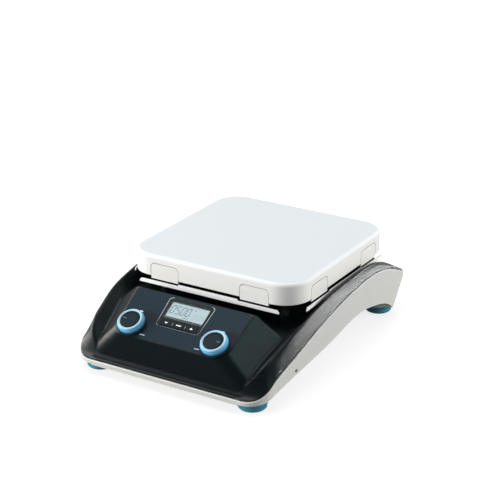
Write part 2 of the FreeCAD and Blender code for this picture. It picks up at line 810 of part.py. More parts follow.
def foot(x, y):
    """Turned rubber foot with a groove round it and a recess for its screw."""
    radius = FOOT_DIAMETER / 2
    middle = FOOT_HEIGHT * 0.55
    profile = polygon([
        V(FOOT_SCREW_RADIUS + 0.2, 0, FOOT_RECESS),
        V(FOOT_RECESS_RADIUS, 0, FOOT_RECESS),
        V(FOOT_RECESS_RADIUS, 0, 0),
        V(radius - 2.0, 0, 0),
        V(radius - 0.8, 0, 1.2),
        V(radius - 0.8, 0, middle - FOOT_GROOVE_WIDTH / 2),
        V(radius - 0.8 - FOOT_GROOVE_DEPTH, 0, middle - FOOT_GROOVE_WIDTH / 2),
        V(radius - 0.8 - FOOT_GROOVE_DEPTH, 0, middle + FOOT_GROOVE_WIDTH / 2),
        V(radius, 0, middle + FOOT_GROOVE_WIDTH / 2),
        V(radius, 0, FOOT_HEIGHT),
        V(FOOT_SCREW_RADIUS + 0.2, 0, FOOT_HEIGHT),
    ])
    return turned(profile, x, y)


def turned(profile, x=0.0, y=0.0):
    solid = Part.Face(profile).revolve(V(0, 0, 0), Z_AXIS, 360)
    solid.translate(V(x, y, 0))
    return solid


def foot_screws():
    screws = []
    for x, y in foot_places().values():
        head = post(FOOT_HEAD_RADIUS, FOOT_RECESS - 1.0, x, y, 1.0)
        screws.append(head.fuse(post(FOOT_SCREW_RADIUS, FOOT_BOSS_TOP - 2.0, x, y, 1.0)))
    return Part.Compound(screws)


def housing_screws():
    screws = []
    for x, y in housing_screw_places():
        head_low = FOOT_HEIGHT + HEAD_RECESS - HOUSING_HEAD_HEIGHT
        head = post(HOUSING_HEAD_RADIUS, HOUSING_HEAD_HEIGHT, x, y, head_low)
        reach = FOOT_HEIGHT + HOUSING_SCREW_LENGTH - HOUSING_TIP_GAP - head_low
        shank = post(HOUSING_SCREW_RADIUS, reach, x, y, head_low)
        screws.append(head.fuse(shank))
    return Part.Compound(screws)


def side_screws():
    screws = []
    for side in (-1, 1):
        screw = side_screw_hole(SIDE_SCREW_RADIUS, SIDE_SCREW_LENGTH, side)
        screw.translate(V(-side * SIDE_SCREW_SUNK, 0, 0))
        slot = box(-1.0, 1.0, -0.4, 0.4, -SIDE_SCREW_RADIUS, SIDE_SCREW_RADIUS)
        slot.rotate(V(0, 0, 0), X_AXIS, 35)
        slot.translate(V(side * (BODY_HALF - SIDE_SCREW_SUNK), at(SIDE_SCREW_SETBACK), SIDE_SCREW_HEIGHT))
        screws.append(screw.cut(slot))
    return Part.Compound(screws)


def turn_quarters(shape):
    """The shape and its three copies, turned about the middle of the plate."""
    copies = []
    for quarter in range(4):
        copy = shape.copy()
        copy.rotate(V(0, PLATE_Y, 0), Z_AXIS, 90 * quarter)
        copies.append(copy)
    return copies


def clip_panel(grown, inner, outer, low):
    """Upright tongue of one clip on the right side, with two rounded top corners."""
    half = CLIP_WIDTH / 2 + grown
    high = SKIRT_BOTTOM + CLIP_RISE + grown
    panel = box(inner, outer, -half, half, low, high)
    corners = [edge for edge in panel.Edges
               if all(abs(vertex.Z - high) < 0.01 for vertex in edge.Vertexes)
               and abs(edge.Vertexes[0].X - edge.Vertexes[-1].X) > 0.1]
    return panel.makeFillet(CLIP_CORNER + grown, corners)


def clip_pair(grown, inner, outer, low):
    pair = []
    for side in (-1, 1):
        panel = clip_panel(grown, inner, outer, low)
        panel.translate(V(0, PLATE_Y + side * CLIP_OFFSET, 0))
        pair.append(panel)
    return pair


def top_plate():
    top = rounded_plate(PLATE_SIDE, PLATE_SIDE, PLATE_CORNER, SKIRT_BOTTOM, PLATE_TOP, 0.0, PLATE_Y)
    rim = [edge for edge in top.Edges
           if all(abs(vertex.Z - PLATE_TOP) < 0.01 for vertex in edge.Vertexes)]
    top = top.makeFillet(PLATE_EDGE_ROUND, rim)
    inner_side = PLATE_SIDE - 2 * PLATE_SKIRT_WALL
    hollow = rounded_plate(inner_side, inner_side, PLATE_CORNER - PLATE_SKIRT_WALL,
                           SKIRT_BOTTOM - 1.0, PLATE_TOP - PLATE_ROOF, 0.0, PLATE_Y)
    top = top.cut(hollow)
    for x, y in standoff_places():
        boss = post(PLATE_BOSS_RADIUS, PLATE_TOP - PLATE_ROOF + 1.0 - SKIRT_BOTTOM, x, y, SKIRT_BOTTOM)
        top = top.fuse(boss).cut(post(STUD_RADIUS, STUD_TOP - SKIRT_BOTTOM + 1.0, x, y, SKIRT_BOTTOM - 1.0))
    pocket = clip_pair(CLIP_CLEARANCE, PLATE_HALF - CLIP_SHEET - 0.1, PLATE_HALF + 1.0,
                       SKIRT_BOTTOM - 1.0)
    for panel in pocket:
        for copy in turn_quarters(panel):
            top = top.cut(copy)
    return top


def plate_clips():
    low = SKIRT_BOTTOM - CLIP_DROP
    clips = []
    for side, panel in zip((-1, 1), clip_pair(0.0, PLATE_HALF - CLIP_SHEET, PLATE_HALF, low)):
        y = PLATE_Y + side * CLIP_OFFSET
        foot_plate = box(PLATE_HALF - CLIP_SHEET - CLIP_FLANGE, PLATE_HALF - CLIP_SHEET / 2,
                         y - CLIP_WIDTH / 2, y + CLIP_WIDTH / 2, low, SKIRT_BOTTOM - CLAMP_SHEET)
        clips.extend(turn_quarters(panel.fuse(foot_plate)))
    return Part.Compound(clips)


def heating_element():
    """Flat ribbon laid to and fro under the plate."""
    high = PLATE_TOP - PLATE_ROOF
    low = high - HEATER_SHEET
    pitch = HEATER_STRIP + HEATER_GAP
    legs = int(HEATER_SIDE / pitch / 2) * 2
    reach = HEATER_SIDE / 2
    start = PLATE_Y - legs * pitch / 2 + HEATER_GAP / 2
    ribbon = None
    for index in range(legs):
        y = start + index * pitch
        leg = box(-reach, reach, y, y + HEATER_STRIP, low, high)
        if index < legs - 1:
            side = 1 if index % 2 else -1
            turn = box(min(side * reach, side * (reach - HEATER_STRIP)),
                       max(side * reach, side * (reach - HEATER_STRIP)),
                       y, y + pitch + HEATER_STRIP, low, high)
            leg = leg.fuse(turn)
        ribbon = leg if ribbon is None else ribbon.fuse(leg)
    return ribbon.cut(post(SENSOR_RADIUS + 0.4, PLATE_TOP, 0.0, PLATE_Y, 0.0))


def insulation_pad():
    pad = rounded_plate(INSULATION_SIDE, INSULATION_SIDE, PLATE_CORNER - PLATE_SKIRT_WALL - 2.0,
                        SKIRT_BOTTOM, PLATE_TOP - PLATE_ROOF - HEATER_SHEET, 0.0, PLATE_Y)
    pad = pad.cut(post(SENSOR_RADIUS + 0.4, PLATE_TOP, 0.0, PLATE_Y, 0.0))
    for x, y in standoff_places():
        pad = pad.cut(post(PLATE_BOSS_RADIUS + 0.5, PLATE_TOP, x, y, 0.0))
    return pad


def clamp_plate():
    side = PLATE_SIDE - 2 * CLIP_SHEET - 1.2
    plate = rounded_plate(side, side, PLATE_CORNER - CLIP_SHEET, SKIRT_BOTTOM - CLAMP_SHEET,
                          SKIRT_BOTTOM, 0.0, PLATE_Y)
    plate = plate.cut(post(SENSOR_RADIUS + 0.4, PLATE_TOP, 0.0, PLATE_Y, 0.0))
    for x, y in standoff_places():
        plate = plate.cut(post(STUD_RADIUS, PLATE_TOP, x, y, 0.0))
    return plate


def temperature_sensor():
    low = SKIRT_BOTTOM - CLAMP_SHEET - SENSOR_COLLAR
    collar = post(2 * SENSOR_RADIUS, SENSOR_COLLAR, 0.0, PLATE_Y, low)
    return collar.fuse(post(SENSOR_RADIUS, PLATE_TOP - PLATE_ROOF - low, 0.0, PLATE_Y, low))


def heat_shield():
    """Folded tray: a floor with cut corners and four flanges, each higher in the middle."""
    half = PLATE_HALF + TRAY_OVERHANG
    cut = half - TRAY_FLANGE_HALF + TRAY_CORNER_CUT
    corners = [(half, -half + cut), (half, half - cut), (half - cut, half), (-half + cut, half),
               (-half, half - cut), (-half, -half + cut), (-half + cut, -half), (half - cut, -half)]
    floor = extrude(polygon([V(x, PLATE_Y + y, TRAY_BOTTOM) for x, y in corners]), V(0, 0, TRAY_SHEET))
    outline = [
        (-TRAY_FLANGE_HALF, 0.0), (TRAY_FLANGE_HALF, 0.0),
        (TRAY_FLANGE_HALF, TRAY_FLANGE_LOW), (TRAY_RAISED_HALF, TRAY_FLANGE_LOW),
        (TRAY_RAISED_HALF, TRAY_FLANGE_HIGH), (-TRAY_RAISED_HALF, TRAY_FLANGE_HIGH),
        (-TRAY_RAISED_HALF, TRAY_FLANGE_LOW), (-TRAY_FLANGE_HALF, TRAY_FLANGE_LOW),
    ]
    flange = extrude(polygon([V(half, PLATE_Y + along, TRAY_BOTTOM + rise) for along, rise in outline]),
                     V(-TRAY_SHEET, 0, 0))
    ends = [edge for edge in flange.Edges
            if all(abs(abs(vertex.Y - PLATE_Y) - TRAY_FLANGE_HALF) < 0.01
                   and vertex.Z > TRAY_BOTTOM + 1.0 for vertex in edge.Vertexes)
            and abs(edge.Vertexes[0].X - edge.Vertexes[-1].X) > 0.1]
    flange = flange.makeFillet(TRAY_CORNER, ends)
    tray = floor
    for copy in turn_quarters(flange):
        tray = tray.fuse(copy)
    for x, y in standoff_places():
        tray = tray.cut(post(STUD_RADIUS + 0.2, PLATE_TOP, x, y, 0.0))
    return tray


def plate_standoffs():
    """Hexagon posts with a stud at each end."""
    posts = []
    for x, y in standoff_places():
        corner = [V(STANDOFF_RADIUS * math.cos(math.radians(60 * k)),
                    STANDOFF_RADIUS * math.sin(math.radians(60 * k)), 0) for k in range(6)]
        hexagon = extrude(polygon(corner), V(0, 0, TRAY_BOTTOM - WELL_FLOOR))
        hexagon.translate(V(x, y, WELL_FLOOR))
        posts.append(hexagon.fuse(post(STUD_RADIUS, STUD_TOP - STUD_BOTTOM, x, y, STUD_BOTTOM)))
    return Part.Compound(posts)


def ring(outer, inner, low, high, x, y):
    return post(outer, high - low, x, y, low).cut(post(inner, high - low, x, y, low))


def ceramic_spacers():
    return Part.Compound([
        ring(STANDOFF_RADIUS + 0.5, STUD_RADIUS, TRAY_BOTTOM + TRAY_SHEET, SKIRT_BOTTOM - CLAMP_SHEET, x, y)
        for x, y in standoff_places()])


def hex_nut(across, height, hole, low, x, y):
    reach = across / math.sqrt(3)
    corner = [V(reach * math.cos(math.radians(60 * k)), reach * math.sin(math.radians(60 * k)), 0)
              for k in range(6)]
    nut = extrude(polygon(corner), V(0, 0, height))
    nut.translate(V(x, y, low))
    return nut.cut(post(hole, height, x, y, low))


def standoff_nuts():
    return Part.Compound([
        hex_nut(NUT_ACROSS, NUT_HEIGHT, STUD_RADIUS, CEILING_BELOW_WELL - NUT_HEIGHT, x, y)
        for x, y in standoff_places()])


def grommet_places():
    reach = BRACKET_REACH - GROMMET_RADIUS - 1.0
    return [(x, PLATE_Y + y) for x in (-reach, reach) for y in (-reach, reach)]


def motor_grommets():
    return Part.Compound([
        ring(GROMMET_RADIUS, STUD_RADIUS, CEILING_BELOW_WELL - GROMMET_HEIGHT, CEILING_BELOW_WELL, x, y)
        for x, y in grommet_places()])


def motor_bracket():
    low = MOTOR_TOP
    sheet = rounded_plate(2 * BRACKET_REACH, 2 * BRACKET_REACH, GROMMET_RADIUS + 1.0,
                          low, low + BRACKET_SHEET, 0.0, PLATE_Y)
    sheet = sheet.cut(post(MOTOR_BOSS_RADIUS, WELL_FLOOR, 0.0, PLATE_Y, low))
    for x, y in grommet_places():
        sheet = sheet.cut(post(STUD_RADIUS, WELL_FLOOR, x, y, low))
    return sheet


def motor_body():
    """Can with a stepped waist, a top boss and a blind bore for the shaft."""
    low = MOTOR_TOP - MOTOR_HEIGHT
    profile = polygon([
        V(0, 0, low), V(MOTOR_RADIUS - 3.0, 0, low), V(MOTOR_RADIUS - 1.5, 0, low + 1.5),
        V(MOTOR_RADIUS - 1.5, 0, low + 9.0), V(MOTOR_RADIUS, 0, low + 9.0),
        V(MOTOR_RADIUS, 0, MOTOR_TOP - 5.0), V(MOTOR_RADIUS - 2.0, 0, MOTOR_TOP - 5.0),
        V(MOTOR_RADIUS - 2.0, 0, MOTOR_TOP), V(MOTOR_BOSS_RADIUS, 0, MOTOR_TOP),
        V(MOTOR_BOSS_RADIUS, 0, MOTOR_TOP + BRACKET_SHEET), V(0, 0, MOTOR_TOP + BRACKET_SHEET),
    ])
    body = turned(profile, 0.0, PLATE_Y)
    bore_low = MOTOR_TOP - MOTOR_SHAFT_DEPTH
    return body.cut(post(MOTOR_SHAFT_RADIUS + MOTOR_SHAFT_FIT, WELL_FLOOR, 0.0, PLATE_Y, bore_low))


def motor_shaft():
    low = MOTOR_TOP - MOTOR_SHAFT_DEPTH + 0.3
    return post(MOTOR_SHAFT_RADIUS, CARRIER_TOP - low, 0.0, PLATE_Y, low)


def shaft_seal():
    """Lipped ring in the hole of the well floor, clear of the turning shaft."""
    inner = MOTOR_SHAFT_RADIUS + 0.35
    collar = ring(SEAL_RADIUS, inner, CEILING_BELOW_WELL, WELL_FLOOR, 0.0, PLATE_Y)
    return collar.fuse(ring(SEAL_RADIUS + 2.0, inner, WELL_FLOOR, WELL_FLOOR + SEAL_HEIGHT, 0.0, PLATE_Y))


def magnet_carrier():
    bar = rounded_plate(CARRIER_LENGTH, CARRIER_WIDTH, CARRIER_WIDTH / 2 - 0.5,
                        CARRIER_TOP - CARRIER_HEIGHT, CARRIER_TOP, 0.0, PLATE_Y)
    for x, y in magnet_places():
        bar = bar.cut(post(MAGNET_RADIUS, MAGNET_HEIGHT, x, y, MAGNET_BOTTOM))
    return bar.cut(post(MOTOR_SHAFT_RADIUS, WELL_FLOOR, 0.0, PLATE_Y, CARRIER_TOP - CARRIER_HEIGHT))


def magnet_places():
    return [(-MAGNET_PITCH, PLATE_Y), (MAGNET_PITCH, PLATE_Y)]


def drive_magnets():
    return Part.Compound([post(MAGNET_RADIUS, MAGNET_HEIGHT, x, y, MAGNET_BOTTOM)
                          for x, y in magnet_places()])


def control_panel():
    sheet = overlay_sheet(0.0, OVERLAY_PROUD - OVERLAY_SHEET, OVERLAY_PROUD)
    sheet = sheet.cut(bezel_block(BEZEL_FIT, -BEZEL_DEPTH, 5.0))
    for side in (-1, 1):
        sheet = sheet.cut(panel_post(BUSH_RADIUS + BEZEL_FIT, side * KNOB_X, KNOB_UP, -3.0, 5.0))
    return sheet


def key_places():
    return {"key_down": -KEY_PITCH, "key_timer": 0.0, "key_up": KEY_PITCH}


def display_bezel():
    bezel = bezel_block(0.0, -BEZEL_DEPTH, BEZEL_PROUD)
    pane = panel_box(0.0, WINDOW_UP, WINDOW_WIDTH + 2 * WINDOW_MARGIN, WINDOW_HEIGHT + 2 * WINDOW_MARGIN,
                     BEZEL_PROUD - WINDOW_SHEET, BEZEL_PROUD + 1.0)
    sight = panel_box(0.0, WINDOW_UP, WINDOW_WIDTH, WINDOW_HEIGHT, -BEZEL_DEPTH - 1.0, BEZEL_PROUD)
    bezel = bezel.cut(pane).cut(sight)
    for x in key_places().values():
        bezel = bezel.cut(panel_box(x, KEY_UP, KEY_WIDTH + 2 * KEY_CLEARANCE,
                                    KEY_HEIGHT + 2 * KEY_CLEARANCE, -BEZEL_DEPTH - 1.0, BEZEL_PROUD + 1.0))
    return bezel


def display_window():
    return panel_box(0.0, WINDOW_UP, WINDOW_WIDTH + 2 * WINDOW_MARGIN - 0.1,
                     WINDOW_HEIGHT + 2 * WINDOW_MARGIN - 0.1, BEZEL_PROUD - WINDOW_SHEET, BEZEL_PROUD - 0.1)


def lcd_module():
    return panel_box(0.0, WINDOW_UP, LCD_WIDTH, LCD_HEIGHT, -BEZEL_DEPTH - LCD_DEPTH, -BEZEL_DEPTH)


def key(x):
    """Key cap with a ledge behind the bezel that keeps it in."""
    high = BEZEL_PROUD + KEY_PROUD
    low = high - KEY_LENGTH
    cap = panel_box(x, KEY_UP, KEY_WIDTH, KEY_HEIGHT, low, high)
    ledge = panel_box(x, KEY_UP, KEY_WIDTH, KEY_HEIGHT + 2 * KEY_LEDGE, low, low + KEY_LEDGE)
    return cap.fuse(ledge)


def key_switches():
    high = BEZEL_PROUD + KEY_PROUD - KEY_LENGTH - KEY_TRAVEL - 0.1
    return Part.Compound([
        panel_box(x, KEY_UP, SWITCH_SIDE, SWITCH_SIDE, -CONTROL_BOARD_DEPTH, high - 1.2).fuse(
            panel_post(1.7, x, KEY_UP, high - 1.5, high))
        for x in key_places().values()])


def control_board():
    board = panel_box(0.0, CONTROL_BOARD_UP, CONTROL_BOARD_WIDTH, CONTROL_BOARD_HEIGHT,
                      -CONTROL_BOARD_DEPTH - BOARD_SHEET, -CONTROL_BOARD_DEPTH)
    for x, up in control_post_places():
        board = board.cut(panel_post(BOARD_SCREW_RADIUS, x, up,
                                     -CONTROL_BOARD_DEPTH - 2 * BOARD_SHEET, 0.0))
    return board


def board_screws():
    screws = []
    low = -CONTROL_BOARD_DEPTH - BOARD_SHEET
    for x, up in control_post_places():
        head_low = low - BOARD_HEAD_HEIGHT
        screws.append(panel_post(BOARD_HEAD_RADIUS, x, up, head_low, low).fuse(
            panel_post(BOARD_SCREW_RADIUS, x, up, head_low, low + BOARD_SHEET)))
    high = board_top()
    for x, y in power_post_places():
        screws.append(post(BOARD_HEAD_RADIUS, BOARD_HEAD_HEIGHT, x, y, high).fuse(
            post(BOARD_SCREW_RADIUS, BOARD_SHEET + BOARD_HEAD_HEIGHT, x, y, high - BOARD_SHEET)))
    return Part.Compound(screws)


def rotary_control(x):
    """Body on the board with a threaded bush that the shaft turns in."""
    low = -CONTROL_BOARD_DEPTH
    body = panel_box(x, KNOB_UP, CONTROL_BODY_SIDE, CONTROL_BODY_SIDE, low, low + CONTROL_BODY_DEPTH)
    bush = panel_post(BUSH_RADIUS, x, KNOB_UP, low + CONTROL_BODY_DEPTH - 0.5, BUSH_TOP)
    bore = panel_post(SHAFT_RADIUS + SHAFT_FIT, x, KNOB_UP, low + CONTROL_BODY_DEPTH - 3.0, BUSH_TOP + 1.0)
    return body.fuse(bush).cut(bore)


def control_nuts():
    nuts = []
    for side in (-1, 1):
        nut = hex_nut(BUSH_NUT_ACROSS, BUSH_NUT_HEIGHT, BUSH_RADIUS, OVERLAY_PROUD, side * KNOB_X, KNOB_UP)
        nuts.append(on_panel(nut))
    return Part.Compound(nuts)


def knob_shaft(x):
    low = -CONTROL_BOARD_DEPTH + CONTROL_BODY_DEPTH - 2.7
    return panel_post(SHAFT_RADIUS, x, KNOB_UP, low, KNOB_BORE_TOP)


def knob_cap(x):
    """Dark knob: a skirt below the ring, a waist that carries it and a dished top."""
    skirt = KNOB_DIAMETER / 2 + KNOB_SKIRT_REACH
    waist = KNOB_CAP_DIAMETER / 2
    profile = polygon([
        V(0, 0, KNOB_UNDERSIDE), V(KNOB_NUT_ROOM, 0, KNOB_UNDERSIDE),
        V(KNOB_NUT_ROOM, 0, KNOB_FOOT + OVERLAY_PROUD), V(skirt, 0, KNOB_FOOT + OVERLAY_PROUD),
        V(skirt, 0, KNOB_RING_LOW - 0.3), V(skirt - 0.6, 0, KNOB_RING_LOW),
        V(waist, 0, KNOB_RING_LOW), V(waist, 0, KNOB_HEIGHT - 0.7),
        V(waist - 0.7, 0, KNOB_HEIGHT), V(waist - 2.2, 0, KNOB_HEIGHT - 0.4),
        V(0, 0, KNOB_HEIGHT - 0.4),
    ])
    cap = turned(profile, x, KNOB_UP)
    return on_panel(cap.cut(post(SHAFT_RADIUS, KNOB_BORE_TOP, x, KNOB_UP, 0.0)))


def knob_ring(x):
    """Coloured grip ring round the knob, with a step in its side."""
    outer = KNOB_DIAMETER / 2
    inner = KNOB_CAP_DIAMETER / 2
    middle = (KNOB_RING_LOW + KNOB_HEIGHT) / 2
    profile = polygon([
        V(inner, 0, KNOB_RING_LOW), V(outer, 0, KNOB_RING_LOW), V(outer, 0, middle),
        V(outer - KNOB_STEP, 0, middle + KNOB_STEP), V(outer - KNOB_STEP, 0, KNOB_HEIGHT - 1.2),
        V(outer - KNOB_STEP - 1.0, 0, KNOB_HEIGHT - 0.2), V(inner, 0, KNOB_HEIGHT - 0.8),
    ])
    return on_panel(turned(profile, x, KNOB_UP))


def power_board():
    low = FOOT_HEIGHT + BASE_WALL + POWER_BOARD_LIFT
    board = rounded_plate(POWER_BOARD_WIDTH, POWER_BOARD_LENGTH, 2.0, low, low + BOARD_SHEET,
                          0.0, at(POWER_BOARD_SETBACK))
    for x, y in power_post_places():
        board = board.cut(post(BOARD_SCREW_RADIUS, BODY_CEILING, x, y, 0.0))
    return board


def board_top():
    return FOOT_HEIGHT + BASE_WALL + POWER_BOARD_LIFT + BOARD_SHEET


def transformer():
    """Laminated core with a bobbin through it."""
    x = -POWER_BOARD_WIDTH / 4
    y = at(POWER_BOARD_SETBACK)
    low = board_top()
    core = box(x - TRANSFORMER_WIDTH / 2, x + TRANSFORMER_WIDTH / 2, y - TRANSFORMER_LENGTH / 4,
               y + TRANSFORMER_LENGTH / 4, low, low + TRANSFORMER_HEIGHT)
    coil = rounded_plate(TRANSFORMER_WIDTH / 2, TRANSFORMER_LENGTH, COIL_CORNER, low + COIL_INSET,
                         low + TRANSFORMER_HEIGHT - COIL_INSET, x, y)
    return core.fuse(coil)


def heatsink():
    """Comb of upright fins for the heater switch."""
    x = POWER_BOARD_WIDTH / 4
    y = at(POWER_BOARD_SETBACK)
    low = board_top()
    sink = box(x - HEATSINK_WIDTH / 2, x + HEATSINK_WIDTH / 2, y - HEATSINK_BACK / 2,
               y + HEATSINK_BACK / 2, low, low + HEATSINK_HEIGHT)
    pitch = HEATSINK_WIDTH / HEATSINK_FINS
    for index in range(HEATSINK_FINS):
        fin_x = x - HEATSINK_WIDTH / 2 + (index + 0.5) * pitch
        sink = sink.fuse(box(fin_x - HEATSINK_FIN_SHEET / 2, fin_x + HEATSINK_FIN_SHEET / 2,
                             y - HEATSINK_FIN_REACH, y, low, low + HEATSINK_HEIGHT))
    return sink


def capacitors():
    y = at(POWER_BOARD_SETBACK)
    low = board_top()
    return Part.Compound([post(CAPACITOR_RADIUS, CAPACITOR_HEIGHT, 0.0, y + offset, low)
                          for offset in (-CAPACITOR_PITCH, 0.0, CAPACITOR_PITCH)])


def rear_panel():
    """Sheet that closes the front of the rear bay and carries the connectors."""
    y = bay_y()
    sheet = box(-BAY_HALF + 0.3, BAY_HALF - 0.3, y, y + REAR_PANEL_SHEET, BAY_FLOOR + 0.3, BAY_CEILING - 0.3)
    sheet = sheet.cut(connector_box(INLET_X, INLET_WIDTH + 0.2, INLET_HEIGHT + 0.2, y - 1.0, y + 5.0))
    sheet = sheet.cut(connector_box(SWITCH_X, SWITCH_WIDTH + 0.2, SWITCH_HEIGHT + 0.2, y - 1.0, y + 5.0))
    sheet = sheet.cut(connector_post(FUSE_X, FUSE_RADIUS + 0.1, y - 1.0, y + 5.0))
    return sheet.cut(connector_post(PROBE_X, PROBE_RADIUS - PROBE_LIP + 0.1, y - 1.0, y + 5.0))


def connector_box(x, width, height, low_y, high_y):
    return box(x - width / 2, x + width / 2, low_y, high_y,
               CONNECTOR_HEIGHT - height / 2, CONNECTOR_HEIGHT + height / 2)


def connector_post(x, radius, low_y, high_y):
    return Part.makeCylinder(radius, high_y - low_y, V(x, low_y, CONNECTOR_HEIGHT), Y_AXIS)


def panel_face():
    return bay_y() + REAR_PANEL_SHEET


def mains_inlet():
    face = panel_face()
    body = connector_box(INLET_X, INLET_WIDTH, INLET_HEIGHT, face - INLET_BODY_DEPTH, face)
    flange = connector_box(INLET_X, INLET_WIDTH + 4.0, INLET_HEIGHT + 2 * INLET_LIP,
                           face, face + INLET_FLANGE)
    cavity = connector_box(INLET_X, INLET_CAVITY_WIDTH, INLET_CAVITY_HEIGHT,
                           face + INLET_FLANGE - INLET_CAVITY_DEPTH, face + INLET_FLANGE + 1.0)
    return body.fuse(flange).cut(cavity)


def inlet_pins():
    floor = panel_face() + INLET_FLANGE - INLET_CAVITY_DEPTH
    pins = []
    for x, rise in ((-7.0, -1.8), (0.0, 1.8), (7.0, -1.8)):
        pins.append(box(INLET_X + x - 1.0, INLET_X + x + 1.0, floor, floor + INLET_PIN_LENGTH,
                        CONNECTOR_HEIGHT + rise - 2.0, CONNECTOR_HEIGHT + rise + 2.0))
    return Part.Compound(pins)


def fuse_holder():
    face = panel_face()
    body = connector_post(FUSE_X, FUSE_RADIUS, face - FUSE_DEPTH, face)
    body = body.fuse(connector_post(FUSE_X, FUSE_RADIUS + 1.5, face, face + FUSE_FLANGE))
    return body.cut(connector_post(FUSE_X, FUSE_STEM_RADIUS + 0.3, face - FUSE_STEM_LENGTH - 0.3,
                                   face + FUSE_FLANGE + 1.0))


def fuse_cap():
    """Quarter-turn cap: a stem in the holder and a head with a screwdriver slot."""
    face = panel_face()
    head_low = face + FUSE_FLANGE + 0.3
    stem = connector_post(FUSE_X, FUSE_STEM_RADIUS, face - FUSE_STEM_LENGTH, head_low + 1.0)
    head = connector_post(FUSE_X, FUSE_RADIUS - 0.2, head_low, head_low + FUSE_HEAD)
    slot = connector_box(FUSE_X, 1.2, 2 * FUSE_RADIUS + 2.0,
                         head_low + FUSE_HEAD - 1.2, head_low + FUSE_HEAD + 1.0)
    return stem.fuse(head).cut(slot)


def switch_body():
    face = panel_face()
    body = connector_box(SWITCH_X, SWITCH_WIDTH, SWITCH_HEIGHT, face - SWITCH_DEPTH, face)
    body = body.fuse(connector_box(SWITCH_X, SWITCH_WIDTH + 2.0, SWITCH_HEIGHT + 2.0,
                                   face, face + SWITCH_FLANGE))
    return body.cut(connector_box(SWITCH_X, ROCKER_WIDTH + 0.8, ROCKER_HEIGHT + 1.2,
                                  face - ROCKER_ROOM, face + SWITCH_FLANGE + 1.0))


def switch_rocker():
    """Rocker with two faces at an angle, resting with its upper half pressed."""
    pivot = V(SWITCH_X - ROCKER_WIDTH / 2, panel_face() - ROCKER_PIVOT, CONNECTOR_HEIGHT)
    half = ROCKER_HEIGHT / 2
    rise = half * math.tan(math.radians(ROCKER_ANGLE))
    base = ROCKER_PIVOT + SWITCH_FLANGE + 0.6
    tip = half - 0.9
    points = [V(0, -3.0, -2.5), V(0, -3.0, 2.5), V(0, 0.5, half), V(0, base + rise, tip),
              V(0, base, 0), V(0, base + rise, -tip), V(0, 0.5, -half)]
    rocker = extrude(polygon(points), V(ROCKER_WIDTH, 0, 0))
    rocker.rotate(V(0, 0, 0), X_AXIS, -ROCKER_ANGLE)
    rocker.translate(pivot)
    return rocker


def probe_socket():
    face = panel_face()
    body = connector_post(PROBE_X, PROBE_RADIUS - PROBE_LIP, face - PROBE_DEPTH, face)
    body = body.fuse(connector_post(PROBE_X, PROBE_RADIUS, face, face + PROBE_FLANGE))
    return body.cut(connector_post(PROBE_X, PROBE_CAVITY_RADIUS, face + PROBE_FLANGE - PROBE_CAVITY_DEPTH,
                                   face + PROBE_FLANGE + 1.0))


def rod_socket():
    """Steel bush with a flange and a bore for the rod."""
    barrel = post(ROD_BOSS_RADIUS, ROD_TOP - ROD_BOTTOM, ROD_X, rod_y(), ROD_BOTTOM)
    flange = post(ROD_BOSS_RADIUS + COVER_WALL, ROD_FLANGE, ROD_X, rod_y(), ROD_TOP)
    bore = post(ROD_THREAD_RADIUS, ROD_THREAD_DEPTH + 1.0, ROD_X, rod_y(),
                ROD_TOP + ROD_FLANGE - ROD_THREAD_DEPTH)
    return barrel.fuse(flange).cut(bore)


PARTS = {
    "base_housing": base_housing,
    "top_cover": top_cover,
    "control_panel": control_panel,
    "display_bezel": display_bezel,
    "display_window": display_window,
    "lcd_module": lcd_module,
    "control_board": control_board,
    "key_switches": key_switches,
    "board_screws": board_screws,
    "control_nuts": control_nuts,
    "top_plate": top_plate,
    "plate_clips": plate_clips,
    "heating_element": heating_element,
    "insulation_pad": insulation_pad,
    "clamp_plate": clamp_plate,
    "temperature_sensor": temperature_sensor,
    "heat_shield": heat_shield,
    "plate_standoffs": plate_standoffs,
    "ceramic_spacers": ceramic_spacers,
    "standoff_nuts": standoff_nuts,
    "motor_body": motor_body,
    "motor_bracket": motor_bracket,
    "motor_grommets": motor_grommets,
    "motor_shaft": motor_shaft,
    "shaft_seal": shaft_seal,
    "magnet_carrier": magnet_carrier,
    "drive_magnets": drive_magnets,
    "power_board": power_board,
    "transformer": transformer,
    "heatsink": heatsink,
    "capacitors": capacitors,
    "rear_panel": rear_panel,
    "mains_inlet": mains_inlet,
    "inlet_pins": inlet_pins,
    "fuse_holder": fuse_holder,
    "fuse_cap": fuse_cap,
    "switch_body": switch_body,
    "switch_rocker": switch_rocker,
    "probe_socket": probe_socket,
    "rod_socket": rod_socket,
    "foot_screws": foot_screws,
    "housing_screws": housing_screws,
    "side_screws": side_screws,
}


def export(name, shape):
    shape.exportStep("parts/" + name + ".step")
    print(name, "valid" if shape.isValid() else "NOT VALID", len(shape.Solids), round(shape.Volume))


def main():
    os.makedirs("parts", exist_ok=True)
    for name, make in PARTS.items():
        export(name, make())
    for name, x in key_places().items():
        export(name, key(x))
    for name, x in (("temperature", -KNOB_X), ("speed", KNOB_X)):
        export(name + "_control", rotary_control(x))
        export(name + "_shaft", knob_shaft(x))
        export(name + "_knob", knob_cap(x))
        export(name + "_ring", knob_ring(x))
    for name, (x, y) in foot_places().items():
        export(name, foot(x, y))


main()
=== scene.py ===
import json
import math

import bmesh
import bpy
from mathutils import Matrix, Vector


